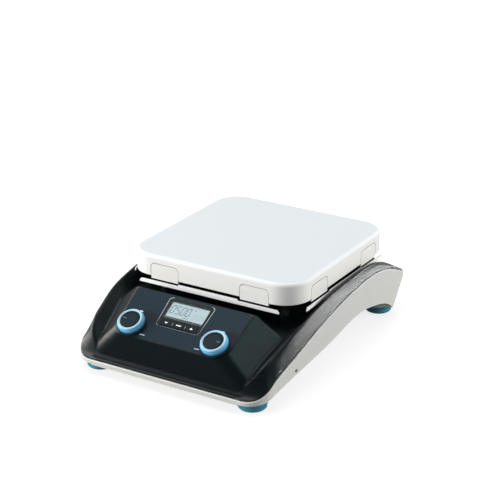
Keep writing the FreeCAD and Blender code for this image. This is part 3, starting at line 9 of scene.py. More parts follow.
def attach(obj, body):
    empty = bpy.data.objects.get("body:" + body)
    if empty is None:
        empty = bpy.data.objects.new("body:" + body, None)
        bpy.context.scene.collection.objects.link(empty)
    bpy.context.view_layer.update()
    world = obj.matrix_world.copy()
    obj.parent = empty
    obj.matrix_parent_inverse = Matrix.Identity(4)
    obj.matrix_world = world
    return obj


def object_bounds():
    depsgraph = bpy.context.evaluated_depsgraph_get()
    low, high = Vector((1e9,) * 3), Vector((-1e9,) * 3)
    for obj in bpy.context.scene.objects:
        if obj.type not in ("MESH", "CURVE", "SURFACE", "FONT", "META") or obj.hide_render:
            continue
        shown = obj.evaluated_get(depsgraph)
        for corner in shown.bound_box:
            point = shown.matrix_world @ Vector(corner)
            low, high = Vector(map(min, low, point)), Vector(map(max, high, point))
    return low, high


# Hotplate magnetic stirrer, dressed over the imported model; metres, +X right, +Y to the rear
MM = 0.001

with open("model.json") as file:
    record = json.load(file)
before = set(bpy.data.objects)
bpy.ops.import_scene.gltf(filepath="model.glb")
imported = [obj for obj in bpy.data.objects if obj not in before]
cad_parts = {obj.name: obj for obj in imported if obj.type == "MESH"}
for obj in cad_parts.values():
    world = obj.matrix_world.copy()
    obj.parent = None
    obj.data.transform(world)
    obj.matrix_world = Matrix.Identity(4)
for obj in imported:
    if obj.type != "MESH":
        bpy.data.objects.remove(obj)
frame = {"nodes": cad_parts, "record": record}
nodes = frame["nodes"]
cad_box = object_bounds()

# Camera, solved on the plate, the knobs and the feet of the photograph
CAMERA_PLACE = (0.67393, -1.11653, 0.60649)
CAMERA_TURN = 31.09
CAMERA_ELEVATION = 21.85
CAMERA_LENS = 109.9
CAMERA_NEAR = 0.05
CAMERA_FAR = 50.0

# Brightness of the surroundings for plain light and for what shiny surfaces mirror
WORLD_FILL = 0.3
WORLD_MIRROR = 0.35

# Floor: half its side, its grey and roughness, its glow, and where the glow added far away begins and ends
FLOOR_HALF = 6.0
FLOOR_GREY = 0.3
FLOOR_ROUGHNESS = 0.8
FLOOR_GLOW = 0.77
FLOOR_FAR_GLOW = 0.16
FLOOR_MIRROR_GLOW = 0.2
FLOOR_NEAR = 0.5
FLOOR_FAR = 3.0

# Softboxes for the whole part: place, size, power and whether shiny surfaces mirror them
WHITE = (1.0, 1.0, 1.0)
CENTRE = (0.0, 0.0, 0.05)
FILL_LAMPS = {
    "overhead_softbox": ((-0.35, 0.25, 1.6), (1.6, 1.2), 13.5, True),
    "front_left_fill": ((-1.2, -1.1, 0.35), (1.0, 0.6), 33.0, False),
    "right_fill": ((1.5, 0.8, 0.4), (0.9, 0.6), 25.0, False),
}

# Softboxes that only the dark cover mirrors: place, size, power and tint
SHEEN_LAMPS = {
    "left_low_sheen": ((-1.3, -0.25, 0.45), (1.0, 0.8), 40.0, (1.0, 0.95, 0.9)),
    "left_high_sheen": ((-0.85, -0.15, 1.1), (0.7, 0.7), 20.0, WHITE),
    "rear_left_sheen": ((-1.0, 0.7, 1.05), (0.7, 0.7), 4.0, WHITE),
    "right_sheen": ((1.05, 0.1, 1.1), (0.8, 0.8), 12.0, (0.72, 1.0, 0.98)),
    "rear_right_sheen": ((1.0, 1.3, 1.1), (0.9, 0.9), 14.0, WHITE),
}

# Narrow lamp for the sheen along the right arch
ARCH_PLACE = (0.31, 0.59, -0.08)
ARCH_AIM = (0.097, 0.035, 0.067)
ARCH_SIZE = (0.12, 0.08)
ARCH_POWER = 0.9
ARCH_BEAM = math.radians(24.0)

# Sloping panel: its flat millimetres start at the front edge, x across, y up the slope
PANEL_START = Vector((0.0, -138.0, 41.9)) * MM
PANEL_TILT = math.radians(29.2)
PANEL_MATRIX = Matrix.Translation(PANEL_START) @ Matrix.Rotation(PANEL_TILT, 4, "X") @ Matrix.Scale(MM, 4)
PANEL_NORMAL = (0.0, -math.sin(PANEL_TILT), math.cos(PANEL_TILT))
SHEET_TOP = 0.2
PRINT_DEPTH = 0.05
CORNER_STEPS = 6

# Display in panel millimetres: its bezel, the print round it, its window and what shows behind
BEZEL_SIZE = (44.0, 31.5)
BEZEL_UP = 34.0
BEZEL_CORNER = 3.5
BEZEL_TOP = 0.5
BEZEL_CLEARANCE = (0.2, 0.1)
SURROUND_SIZE = (46.0, 31.9)
SURROUND_FLARE = 0.0022
OUTLINE_WIDTH = 0.6
WINDOW_SIZE = (38.9, 17.9)
WINDOW_UP = 37.2
GLASS_SIZE = (38.6, 15.7)
GLASS_UP = 38.3
GLASS_TOP = -0.8
DISPLAY_MARKS = ((6.6, 42.4), (-1.6, 32.2), (0.4, 32.2), (2.4, 32.2))
DISPLAY_MARK_SIZE = (1.3, 0.9)

# Numbers on the display: lower left corner, size of a digit, pitch of digits and thickness of strokes
DISPLAY_TEXT = "0500"
MAIN_NUMBER = ((-17.2, 34.6), (3.4, 8.4), 5.25, 0.8)
SMALL_NUMBER = ((6.4, 33.6), (1.9, 4.9), 2.9, 0.5)
DIGIT_LEAN = 0.09

# Keys, knobs and their prints, in panel millimetres
KEY_UP = 22.6
KEY_PITCH = 13.0
KEY_TOP = 0.8
KEY_SIGNS = {
    "key_down": [(-1.7, 0.6), (0.0, -1.2), (1.7, 0.6)],
    "key_timer": [(-2.6, -0.5), (2.6, -0.5), (2.6, 0.5), (-2.6, 0.5)],
    "key_up": [(-1.7, -0.9), (1.7, -0.9), (0.0, 1.2)],
}
SEPARATOR_SIZE = (0.45, 3.4)
KNOB_X = 43.0
KNOB_UP = 12.6
CAP_TOP = 7.8
TOP_MARK_PLACE = (42.4, 27.8)
TOP_MARK_SIZE = (3.6, 1.5)
SIDE_MARK_PLACE = (28.2, 4.8)
SIDE_MARK_SIZE = (5.0, 1.1)
POINTER_OUT = 5.2
POINTER_SIZE = (3.4, 0.9)

# Plate and tray, for the parts of their finish that depend on the place: painted shade on the plate's
# skirt and inside the tray
PLATE_MIDDLE_Y = 19.0 * MM
PLATE_SHOULDER = 86.6 * MM
PLATE_TOP = 90.2 * MM
TRAY_INSIDE = 90.1 * MM

# Heights over the panel, in millimetres, between which the knob rings are painted: a highlight near the
# top, shade on the lower band and deeper shade at the foot
RING_HIGHLIGHT_ZONE = (7.0, 7.6)
RING_LOW_SHADE_ZONE = (4.7, 5.3)
RING_FOOT_SHADE_ZONE = (2.8, 3.2)

# Where the edges of the cover are rounded widely: at the foot of the console and on the crest
CONSOLE_ZONE_HALF = 79.0 * MM
CONSOLE_ZONE_FADE = 4.0 * MM
CONSOLE_ZONE_FRONT = -142.5 * MM
CONSOLE_FRONT_FADE = 3.0 * MM
CONSOLE_ZONE_DEPTH = (1.6, 7.0)
CREST_ZONE_HALF = 66.0 * MM
CREST_ZONE_LOW = 24.0 * MM
CREST_LOW_FADE = 4.0 * MM
CREST_ZONE_RISE = 0.235
CREST_ZONE_REAR = 50.0 * MM
CREST_REAR_FADE = 20.0 * MM
WIDE_EDGE = 3.5 * MM

# Noise behind the drifts of colour and of shine: its scale and its detail; and the detail of the grain
COLOUR_NOISE = (14.0, 3.0)
SHINE_NOISE = (90.0, 4.0)
GRAIN_DETAIL = 2.0

# Softened edges: samples of the rounding and strength of the mask
BEVEL_SAMPLES = 8
EDGE_MASK_GAIN = 4.0

GROUPS = {}


def place_camera():
    camera = bpy.data.cameras.new("camera")
    camera.lens = CAMERA_LENS
    camera.clip_start = CAMERA_NEAR
    camera.clip_end = CAMERA_FAR
    holder = bpy.data.objects.new("camera", camera)
    bpy.context.scene.collection.objects.link(holder)
    turn = math.radians(CAMERA_TURN)
    rise = math.radians(CAMERA_ELEVATION)
    ahead = Vector((-math.sin(turn) * math.cos(rise), math.cos(turn) * math.cos(rise), -math.sin(rise)))
    holder.location = CAMERA_PLACE
    holder.rotation_mode = "QUATERNION"
    holder.rotation_quaternion = ahead.to_track_quat("-Z", "Y")
    bpy.context.scene.camera = holder


def lamp(name, place, aim, size, power, gloss=True, fill=True, tint=WHITE):
    """Softbox that lights by fill, by gloss or by both."""
    light = bpy.data.lights.new(name, "AREA")
    light.shape = "RECTANGLE"
    light.size, light.size_y = size
    light.energy = power
    light.color = tint
    holder = bpy.data.objects.new(name, light)
    holder.location = place
    holder.rotation_mode = "QUATERNION"
    holder.rotation_quaternion = (Vector(aim) - Vector(place)).to_track_quat("-Z", "Y")
    bpy.context.scene.collection.objects.link(holder)
    holder.visible_glossy = gloss
    holder.visible_diffuse = fill
    return holder


def light_studio():
    for name, (place, size, power, gloss) in FILL_LAMPS.items():
        lamp(name, place, CENTRE, size, power, gloss=gloss)
    sheens = []
    for name, (place, size, power, tint) in SHEEN_LAMPS.items():
        sheens.append(lamp(name, place, CENTRE, size, power, fill=False, tint=tint))
    arch = lamp("arch_sheen", ARCH_PLACE, ARCH_AIM, ARCH_SIZE, ARCH_POWER, fill=False)
    arch.data.use_shadow = False
    arch.data.spread = ARCH_BEAM
    sheens.append(arch)
    dark = bpy.data.collections.new("sheen_receivers")
    dark.objects.link(nodes["top_cover"])
    for sheen in sheens:
        sheen.light_linking.receiver_collection = dark


def new_material(name):
    """Empty material: its tree and its Principled shader."""
    material = bpy.data.materials.new(name)
    material.use_nodes = True
    tree = material.node_tree
    tree.nodes.clear()
    output = tree.nodes.new("ShaderNodeOutputMaterial")
    shader = tree.nodes.new("ShaderNodeBsdfPrincipled")
    tree.links.new(shader.outputs["BSDF"], output.inputs["Surface"])
    return material, tree, shader


def group_tree(name, inputs, outputs):
    """Shader group with named float, colour or vector sockets."""
    tree = bpy.data.node_groups.new(name, "ShaderNodeTree")
    kinds = {"value": "NodeSocketFloat", "colour": "NodeSocketColor", "vector": "NodeSocketVector"}
    for label, kind, start in inputs:
        socket = tree.interface.new_socket(label, in_out="INPUT", socket_type=kinds[kind])
        socket.default_value = start
    for label, kind in outputs:
        tree.interface.new_socket(label, in_out="OUTPUT", socket_type=kinds[kind])
    entry = tree.nodes.new("NodeGroupInput")
    leave = tree.nodes.new("NodeGroupOutput")
    GROUPS[name] = tree
    return tree, entry, leave


def maths(tree, operation, first, second):
    node = tree.nodes.new("ShaderNodeMath")
    node.operation = operation
    for index, value in enumerate((first, second)):
        if isinstance(value, (int, float)):
            node.inputs[index].default_value = value
        else:
            tree.links.new(value, node.inputs[index])
    return node.outputs[0]


def negative(tree, value):
    return maths(tree, "MULTIPLY", value, -1.0)


def product(tree, first, second, third):
    return maths(tree, "MULTIPLY", maths(tree, "MULTIPLY", first, second), third)


def smooth_step(tree, value, low, high):
    """From 0 at the low value to 1 at the high one."""
    node = tree.nodes.new("ShaderNodeMapRange")
    node.interpolation_type = "SMOOTHSTEP"
    node.inputs["From Min"].default_value = low
    node.inputs["From Max"].default_value = high
    tree.links.new(value, node.inputs["Value"])
    return node.outputs["Result"]


def noise(tree, vector, scale, detail):
    node = tree.nodes.new("ShaderNodeTexNoise")
    node.inputs["Detail"].default_value = detail
    tree.links.new(vector, node.inputs["Vector"])
    if isinstance(scale, (int, float)):
        node.inputs["Scale"].default_value = scale
    else:
        tree.links.new(scale, node.inputs["Scale"])
    return node.outputs["Fac"]


def object_place(tree):
    return tree.nodes.new("ShaderNodeTexCoord").outputs["Object"]


def place_axes(tree):
    """The three Object coordinates, in metres."""
    split = tree.nodes.new("ShaderNodeSeparateXYZ")
    tree.links.new(object_place(tree), split.inputs[0])
    return split.outputs[0], split.outputs[1], split.outputs[2]


def vector_dot(tree, first, second):
    """Dot product of a socket with another one or with a plain direction."""
    node = tree.nodes.new("ShaderNodeVectorMath")
    node.operation = "DOT_PRODUCT"
    tree.links.new(first, node.inputs[0])
    if isinstance(second, tuple):
        node.inputs[1].default_value = second
    else:
        tree.links.new(second, node.inputs[1])
    return node.outputs["Value"]


def make_finish_group():
    """Fine grain with slow drifts of colour and shine, for moulded, painted and fired surfaces."""
    tree, entry, leave = group_tree(
        "moulded_finish",
        [("Colour", "colour", (0.5, 0.5, 0.5, 1.0)), ("Drift", "value", 0.04),
         ("Roughness", "value", 0.4), ("Roughness Drift", "value", 0.06),
         ("Grain Scale", "value", 2500.0)],
        [("Colour", "colour"), ("Roughness", "value"), ("Height", "value")])
    place = object_place(tree)
    slow = noise(tree, place, *COLOUR_NOISE)
    offset = maths(tree, "SUBTRACT", slow, 0.5)
    shade = maths(tree, "ADD", maths(tree, "MULTIPLY", offset, entry.outputs["Drift"]), 1.0)
    scale = tree.nodes.new("ShaderNodeVectorMath")
    scale.operation = "SCALE"
    tree.links.new(entry.outputs["Colour"], scale.inputs[0])
    tree.links.new(shade, scale.inputs["Scale"])
    tree.links.new(scale.outputs[0], leave.inputs["Colour"])
    shine = maths(tree, "SUBTRACT", noise(tree, place, *SHINE_NOISE), 0.5)
    rough = maths(tree, "MULTIPLY", shine, entry.outputs["Roughness Drift"])
    tree.links.new(maths(tree, "ADD", rough, entry.outputs["Roughness"]), leave.inputs["Roughness"])
    tree.links.new(noise(tree, place, entry.outputs["Grain Scale"], GRAIN_DETAIL), leave.inputs["Height"])


def make_edge_group():
    """Normal rounded over sharp edges, and a mask of those edges."""
    tree, entry, leave = group_tree(
        "soft_edges", [("Radius", "value", 0.0006)], [("Normal", "vector"), ("Edge", "value")])
    bevel = tree.nodes.new("ShaderNodeBevel")
    bevel.samples = BEVEL_SAMPLES
    tree.links.new(entry.outputs["Radius"], bevel.inputs["Radius"])
    plain = tree.nodes.new("ShaderNodeNewGeometry")
    likeness = vector_dot(tree, bevel.outputs["Normal"], plain.outputs["Normal"])
    away = maths(tree, "SUBTRACT", 1.0, likeness)
    tree.links.new(maths(tree, "MULTIPLY", away, EDGE_MASK_GAIN), leave.inputs["Edge"])
    tree.links.new(bevel.outputs["Normal"], leave.inputs["Normal"])


def panel_distance(tree):
    """Distance from the plane of the panel, in millimetres, positive above it."""
    away = tree.nodes.new("ShaderNodeVectorMath")
    away.operation = "SUBTRACT"
    tree.links.new(object_place(tree), away.inputs[0])
    away.inputs[1].default_value = PANEL_START
    return maths(tree, "DIVIDE", vector_dot(tree, away.outputs[0], PANEL_NORMAL), MM)


def zone_group(name):
    """Empty group for a mask, and the socket that the mask goes to."""
    tree, _, leave = group_tree(name, [], [("Inside", "value")])
    return tree, leave.inputs["Inside"]


def console_foot(tree, x_reach, y):
    within = maths(tree, "SUBTRACT", CONSOLE_ZONE_HALF, x_reach)
    across = smooth_step(tree, within, 0.0, CONSOLE_ZONE_FADE)
    behind = smooth_step(tree, y, CONSOLE_ZONE_FRONT, CONSOLE_ZONE_FRONT + CONSOLE_FRONT_FADE)
    below = smooth_step(tree, negative(tree, panel_distance(tree)), *CONSOLE_ZONE_DEPTH)
    return product(tree, across, behind, below)


def crest_front(tree, x_reach, y, z):
    rise = maths(tree, "MULTIPLY", maths(tree, "SUBTRACT", y, cad_box[0][1]), CREST_ZONE_RISE)
    height = maths(tree, "SUBTRACT", z, rise)
    above = smooth_step(tree, height, CREST_ZONE_LOW, CREST_ZONE_LOW + CREST_LOW_FADE)
    front = smooth_step(tree, negative(tree, y), CREST_ZONE_REAR, CREST_ZONE_REAR + CREST_REAR_FADE)
    outside = maths(tree, "GREATER_THAN", x_reach, CREST_ZONE_HALF)
    return product(tree, outside, front, above)


def wide_edges_zone():
    """Foot of the console and front part of the crest of the cover."""
    tree, inside = zone_group("wide_edges")
    x, y, z = place_axes(tree)
    x_reach = maths(tree, "ABSOLUTE", x, 0.0)
    foot = console_foot(tree, x_reach, y)
    crest = crest_front(tree, x_reach, y, z)
    tree.links.new(maths(tree, "MAXIMUM", foot, crest), inside)


def skirt_shade_zone():
    """Everything of the plate that is lower than its shoulder, painted a little darker and less blue than
    the top as shade.
    """
    tree, inside = zone_group("skirt_painted_shade")
    _, _, z = place_axes(tree)
    tree.links.new(smooth_step(tree, negative(tree, z), -PLATE_TOP, -PLATE_SHOULDER), inside)


def tray_shade_zone():
    """The shield within its flanges, painted near black as shade."""
    tree, inside = zone_group("tray_painted_shade")
    x, y, _ = place_axes(tree)
    across = maths(tree, "ABSOLUTE", x, 0.0)
    along = maths(tree, "ABSOLUTE", maths(tree, "SUBTRACT", y, PLATE_MIDDLE_Y), 0.0)
    reach = maths(tree, "MAXIMUM", across, along)
    tree.links.new(maths(tree, "LESS_THAN", reach, TRAY_INSIDE), inside)


def above_zone(name, low, high):
    """Mask that fades in between two heights over the panel."""
    tree, inside = zone_group(name)
    tree.links.new(smooth_step(tree, panel_distance(tree), low, high), inside)


def below_zone(name, low, high):
    """Mask that fades out between two heights over the panel."""
    tree, inside = zone_group(name)
    tree.links.new(smooth_step(tree, negative(tree, panel_distance(tree)), -high, -low), inside)


def make_zone_groups():
    """Masks for the parts of a piece that differ in softness, and for the painted highlight and painted
    shade on the knob rings, the plate's skirt and the inside of the tray.
    """
    wide_edges_zone()
    skirt_shade_zone()
    tray_shade_zone()
    above_zone("ring_painted_highlight", *RING_HIGHLIGHT_ZONE)
    below_zone("ring_low_painted_shade", *RING_LOW_SHADE_ZONE)
    below_zone("ring_foot_painted_shade", *RING_FOOT_SHADE_ZONE)


def group_node(tree, name, **values):
    node = tree.nodes.new("ShaderNodeGroup")
    node.node_tree = GROUPS[name]
    for label, value in values.items():
        node.inputs[label.replace("_", " ")].default_value = value
    return node


def mix_colour(tree, share, first, second):
    node = tree.nodes.new("ShaderNodeMix")
    node.data_type = "RGBA"
    node.clamp_factor = True
    tree.links.new(share, node.inputs["Factor"])
    sockets = {socket.name: socket for socket in node.inputs if socket.type == "RGBA"}
    tree.links.new(first, sockets["A"])
    sockets["B"].default_value = second
    return [socket for socket in node.outputs if socket.type == "RGBA"][0]


def linear(text):
    """Hex colour of the screen as linear red, green, blue and alpha."""
    channels = [int(text[i:i + 2], 16) / 255 for i in (1, 3, 5)]
    return tuple([c / 12.92 if c <= 0.04045 else ((c + 0.055) / 1.055) ** 2.4 for c in channels] + [1.0])


def soft_edges(tree, edge, soft_zone):
    """Softened edges of one radius, wider inside a zone where one is named."""
    soft = group_node(tree, "soft_edges", Radius=edge)
    if soft_zone:
        inside = group_node(tree, soft_zone).outputs["Inside"]
        radius = maths(tree, "ADD", maths(tree, "MULTIPLY", inside, WIDE_EDGE), edge)
        tree.links.new(radius, soft.inputs["Radius"])
    return soft


# Colour with the painted highlight and painted shade of its zones, and a painted highlight on its edges
# where an edge colour is given
def surface_colour(tree, base, soft, painted_light_zones, edge_highlight, edge_highlight_share):
    surface = base.outputs["Colour"]
    for zone, painted_colour in painted_light_zones:
        surface = mix_colour(tree, group_node(tree, zone).outputs["Inside"], surface, linear(painted_colour))
    if edge_highlight:
        share = maths(tree, "MULTIPLY", soft.outputs["Edge"], edge_highlight_share)
        surface = mix_colour(tree, share, surface, linear(edge_highlight))
    return surface


def grain_normal(tree, base, soft, bump):
    node = tree.nodes.new("ShaderNodeBump")
    node.inputs["Distance"].default_value = bump
    node.inputs["Strength"].default_value = 1.0
    tree.links.new(base.outputs["Height"], node.inputs["Height"])
    tree.links.new(soft.outputs["Normal"], node.inputs["Normal"])
    return node.outputs["Normal"]


def finish(name, colour, rough, grain=2500.0, bump=0.00001, drift=0.05, rough_drift=0.08, edge=0.0005,
           edge_highlight=None, edge_highlight_share=0.0, painted_light_zones=(), soft_zone=None, metal=0.0, coat=0.0,
           coat_rough=0.1, level=0.5):
    """Material of one finish: grain, drifts, softened edges, a painted highlight on the edges where it has
    an edge colour, and a clear coat where it has one.
    """
    material, tree, shader = new_material(name)
    base = group_node(tree, "moulded_finish", Colour=linear(colour), Roughness=rough, Drift=drift,
                      Roughness_Drift=rough_drift, Grain_Scale=grain)
    soft = soft_edges(tree, edge, soft_zone)
    surface = surface_colour(tree, base, soft, painted_light_zones, edge_highlight, edge_highlight_share)
    tree.links.new(surface, shader.inputs["Base Color"])
    tree.links.new(base.outputs["Roughness"], shader.inputs["Roughness"])
    tree.links.new(grain_normal(tree, base, soft, bump), shader.inputs["Normal"])
    shader.inputs["Metallic"].default_value = metal
    shader.inputs["Coat Weight"].default_value = coat
    shader.inputs["Coat Roughness"].default_value = coat_rough
    shader.inputs["Specular IOR Level"].default_value = level
    return material


def outer_finishes():
    return {
        # The plate's skirt is painted a little darker and less blue than its top, as shade
        "plate_white": finish("fired_ceramic", "#ebf1f4", 0.22, grain=900.0, bump=0.000004, drift=0.02,
                              rough_drift=0.05, edge=0.0008, painted_light_zones=[("skirt_painted_shade", "#e4e4e0")],
                              coat=0.15, coat_rough=0.1, level=0.25),
        "clip_white": finish("painted_clip", "#e4e3df", 0.30, grain=1500.0, bump=0.000004, edge=0.0003),
        # The tray inside the flanges is painted near black as shade
        "shield_white": finish("enamelled_shield", "#fafafa", 0.22, grain=1200.0, bump=0.000005,
                               edge=0.0002, painted_light_zones=[("tray_painted_shade", "#101112")]),
        "cover_dark": finish("satin_cover", "#0a1316", 0.34, grain=3200.0, bump=0.000012, drift=0.10,
                             rough_drift=0.06, edge=0.0010, soft_zone="wide_edges", level=0.1),
        # The base's edges are painted white, as a highlight
        "base_grey": finish("satin_base", "#c5c6c1", 0.38, grain=3000.0, drift=0.03, rough_drift=0.06,
                            edge=0.0011, edge_highlight="#ffffff", edge_highlight_share=5.0),
        # The feet's edges are painted a lighter teal, as a highlight
        "foot_teal": finish("foot_rubber", "#3a8297", 0.5, grain=1500.0, bump=0.00002, drift=0.10,
                            rough_drift=0.1, edge_highlight="#9fd0de", edge_highlight_share=0.5),
    }


def console_finishes():
    return {
        "panel_slate": finish("panel_sheet", "#1a2b35", 0.46, grain=4200.0, bump=0.000008, drift=0.06,
                              rough_drift=0.05, edge=0.0002, level=0.15),
        "bezel_black": finish("bezel_gloss", "#0c1518", 0.24, grain=900.0, bump=0.000002, edge=0.0003,
                              level=0.15),
        "lcd_pale": finish("lcd_ground", "#a9c0c6", 0.35, drift=0.02),
        "window_clear": clear_window(),
        "key_dark": finish("key_cap", "#0e171b", 0.40, edge=0.0003, level=0.15),
        # The knob's edges are painted a lighter grey, as a highlight
        "knob_dark": finish("knob_body", "#0f2129", 0.40, grain=3500.0, bump=0.000012, edge=0.0004,
                            edge_highlight="#7f8a90", edge_highlight_share=0.3, level=0.15),
        # The ring is painted lighter near its top and on its edges as a highlight, and darker below as
        # shade
        "ring_blue": finish("ring_blue", "#63b4de", 0.30, grain=2200.0, bump=0.000005,
                            painted_light_zones=[("ring_painted_highlight", "#b2daee"), ("ring_low_painted_shade", "#3f8fbd"),
                                   ("ring_foot_painted_shade", "#183c50")],
                            edge_highlight="#d8f0fb", edge_highlight_share=0.2, coat=0.3),
    }


def inner_finishes():
    return {
        "steel": finish("plain_steel", "#b9bbbd", 0.28, grain=1800.0, bump=0.000004, metal=1.0),
        "heater_metal": finish("heater_ribbon", "#6d6358", 0.45, metal=1.0),
        "insulation": finish("fibre_mat", "#d8d2c4", 0.95, grain=600.0, bump=0.00006),
        "ceramic": finish("unglazed_ceramic", "#e2ddd3", 0.7),
        "board_green": finish("board_laminate", "#1f5a38", 0.4),
        "component_grey": finish("component_case", "#3a3b3e", 0.5),
        "aluminium": finish("plain_aluminium", "#c2c5c8", 0.35, metal=1.0),
        "motor_steel": finish("motor_case", "#a5a8ab", 0.3, metal=1.0),
        "magnet_nickel": finish("magnet_plating", "#c9c6be", 0.2, metal=1.0),
        "rubber_black": finish("black_rubber", "#18181a", 0.7),
        "connector_black": finish("connector_moulding", "#17181a", 0.42, edge=0.0003),
        "brass": finish("plain_brass", "#c9a861", 0.25, metal=1.0),
        "transformer_core": finish("core_lacquer", "#3b3b40", 0.4, metal=0.6),
    }


def print_finishes():
    return {
        "outline_grey": finish("outline_print", "#a9b4ba", 0.4, edge=0.0001),
        "print_white": finish("white_print", "#f2f5f6", 0.4, edge=0.0001),
        "pointer_grey": finish("pointer_print", "#59656c", 0.4, edge=0.0001),
        "print_grey": finish("grey_print", "#a3adb2", 0.4, edge=0.0001),
        "digit_grey": finish("digit_print", "#495862", 0.5, edge=0.0001),
        "digit_faint": finish("faint_digit_print", "#9aabb6", 0.5, edge=0.0001),
    }


def clear_window():
    material, tree, shader = new_material("clear_window")
    base = group_node(tree, "moulded_finish", Colour=linear("#dfeaf0"), Roughness=0.06,
                      Roughness_Drift=0.03, Drift=0.02)
    tree.links.new(base.outputs["Colour"], shader.inputs["Base Color"])
    tree.links.new(base.outputs["Roughness"], shader.inputs["Roughness"])
    shader.inputs["Alpha"].default_value = 0.05
    return material


def dress_nodes(materials):
    slots = {part["node"]: part["material_slot"] for part in frame["record"]["subparts"]}
    for name, piece in nodes.items():
        for slot in piece.material_slots:
            slot.material = materials[slots[name]]


def far_glow(tree):
    """Glow of the floor, stronger far from the part, where the lamps reach it less."""
    distance = tree.nodes.new("ShaderNodeVectorMath")
    distance.operation = "LENGTH"
    tree.links.new(object_place(tree), distance.inputs[0])
    far = smooth_step(tree, distance.outputs["Value"], FLOOR_NEAR, FLOOR_FAR)
    return maths(tree, "ADD", maths(tree, "MULTIPLY", far, FLOOR_FAR_GLOW), FLOOR_GLOW)


def floor_material():
    material, tree, shader = new_material("studio_floor")
    shader.inputs["Base Color"].default_value = (FLOOR_GREY, FLOOR_GREY, FLOOR_GREY, 1.0)
    shader.inputs["Roughness"].default_value = FLOOR_ROUGHNESS
    shader.inputs["Emission Color"].default_value = (*WHITE, 1.0)
    path = tree.nodes.new("ShaderNodeLightPath")
    shown = maths(tree, "MULTIPLY", path.outputs["Is Camera Ray"], far_glow(tree))
    mirrored = maths(tree, "MULTIPLY", path.outputs["Is Glossy Ray"], FLOOR_MIRROR_GLOW)
    tree.links.new(maths(tree, "ADD", shown, mirrored), shader.inputs["Emission Strength"])
    return material


def make_floor():
    mesh = bpy.data.meshes.new("floor")
    form = bmesh.new()
    bmesh.ops.create_grid(form, x_segments=1, y_segments=1, size=FLOOR_HALF)
    form.to_mesh(mesh)
    form.free()
    floor = bpy.data.objects.new("floor", mesh)
    bpy.context.scene.collection.objects.link(floor)
    mesh.materials.append(floor_material())


def make_world():
    world = bpy.data.worlds.new("studio")
    world.use_nodes = True
    tree = world.node_tree
    background = tree.nodes["Background"]
    background.inputs["Color"].default_value = (*WHITE, 1.0)
    path = tree.nodes.new("ShaderNodeLightPath")
    seen = maths(tree, "MAXIMUM", path.outputs["Is Camera Ray"], path.outputs["Is Transmission Ray"])
    shown = maths(tree, "MULTIPLY", seen, 1.0 - WORLD_FILL)
    mirrored = maths(tree, "MULTIPLY", path.outputs["Is Glossy Ray"], WORLD_MIRROR - WORLD_FILL)
    level = maths(tree, "ADD", maths(tree, "ADD", shown, mirrored), WORLD_FILL)
    tree.links.new(level, background.inputs["Strength"])
    bpy.context.scene.world = world


def plate_form(form, outline, low, high):
    """Adds a flat plate with this outline between two heights."""
    face = form.faces.new([form.verts.new((x, y, low)) for x, y in outline])
    raise_faces(form, [face], high)


def print_form(form, outline, level):
    """Adds a thin print with this outline, reaching as far above a level as below it."""
    plate_form(form, outline, level - PRINT_DEPTH, level + PRINT_DEPTH)


def band_form(form, outer, inner, low, high):
    """Adds a flat band between two outlines of as many points."""
    outside = [form.verts.new((x, y, low)) for x, y in outer]
    inside = [form.verts.new((x, y, low)) for x, y in inner]
    faces = []
    for index, point in enumerate(outside):
        after = (index + 1) % len(outside)
        faces.append(form.faces.new((point, outside[after], inside[after], inside[index])))
    raise_faces(form, faces, high)


def raise_faces(form, faces, high):
    raised = bmesh.ops.extrude_face_region(form, geom=faces)["geom"]
    for item in raised:
        if isinstance(item, bmesh.types.BMVert):
            item.co.z = high


def panel_piece(name, form, material, body="base"):
    """Places a form made in panel millimetres on the panel, riding on a body."""
    bmesh.ops.recalc_face_normals(form, faces=form.faces)
    mesh = bpy.data.meshes.new(name)
    form.to_mesh(mesh)
    form.free()
    mesh.transform(PANEL_MATRIX)
    mesh.materials.append(finishes[material])
    piece = bpy.data.objects.new(name, mesh)
    bpy.context.scene.collection.objects.link(piece)
    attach(piece, body)


def rounded_points(width, height, radius, up, flare=0.0):
    """Outline of a rounded rectangle about the middle line of the panel, wider at the top if flared."""
    points = []
    for side, end, start in ((1, -1, -90), (1, 1, 0), (-1, 1, 90), (-1, -1, 180)):
        x = side * (width / 2 - radius)
        y = up + end * (height / 2 - radius)
        for step in range(CORNER_STEPS + 1):
            angle = math.radians(start + 90 * step / CORNER_STEPS)
            level = y + radius * math.sin(angle)
            points.append(((x + radius * math.cos(angle)) * (1 + flare * (level - up)), level))
    return points


def bar_points(x, up, width, height):
    return [(x - width / 2, up - height / 2), (x + width / 2, up - height / 2),
            (x + width / 2, up + height / 2), (x - width / 2, up + height / 2)]


def display_surround():
    """Dark print round the bezel and the light line at its edge."""
    width, height = SURROUND_SIZE
    edge = rounded_points(width, height, BEZEL_CORNER, BEZEL_UP, SURROUND_FLARE)
    bezel = rounded_points(BEZEL_SIZE[0] + BEZEL_CLEARANCE[0], BEZEL_SIZE[1] + BEZEL_CLEARANCE[1],
                           BEZEL_CORNER, BEZEL_UP)
    form = bmesh.new()
    band_form(form, edge, bezel, SHEET_TOP - PRINT_DEPTH, SHEET_TOP + PRINT_DEPTH / 2)
    panel_piece("display_surround", form, "bezel_black")
    inner = rounded_points(width - 2 * OUTLINE_WIDTH, height - 2 * OUTLINE_WIDTH,
                           BEZEL_CORNER - OUTLINE_WIDTH, BEZEL_UP, SURROUND_FLARE)
    form = bmesh.new()
    band_form(form, edge, inner, SHEET_TOP - PRINT_DEPTH, SHEET_TOP + PRINT_DEPTH)
    panel_piece("display_outline", form, "outline_grey")


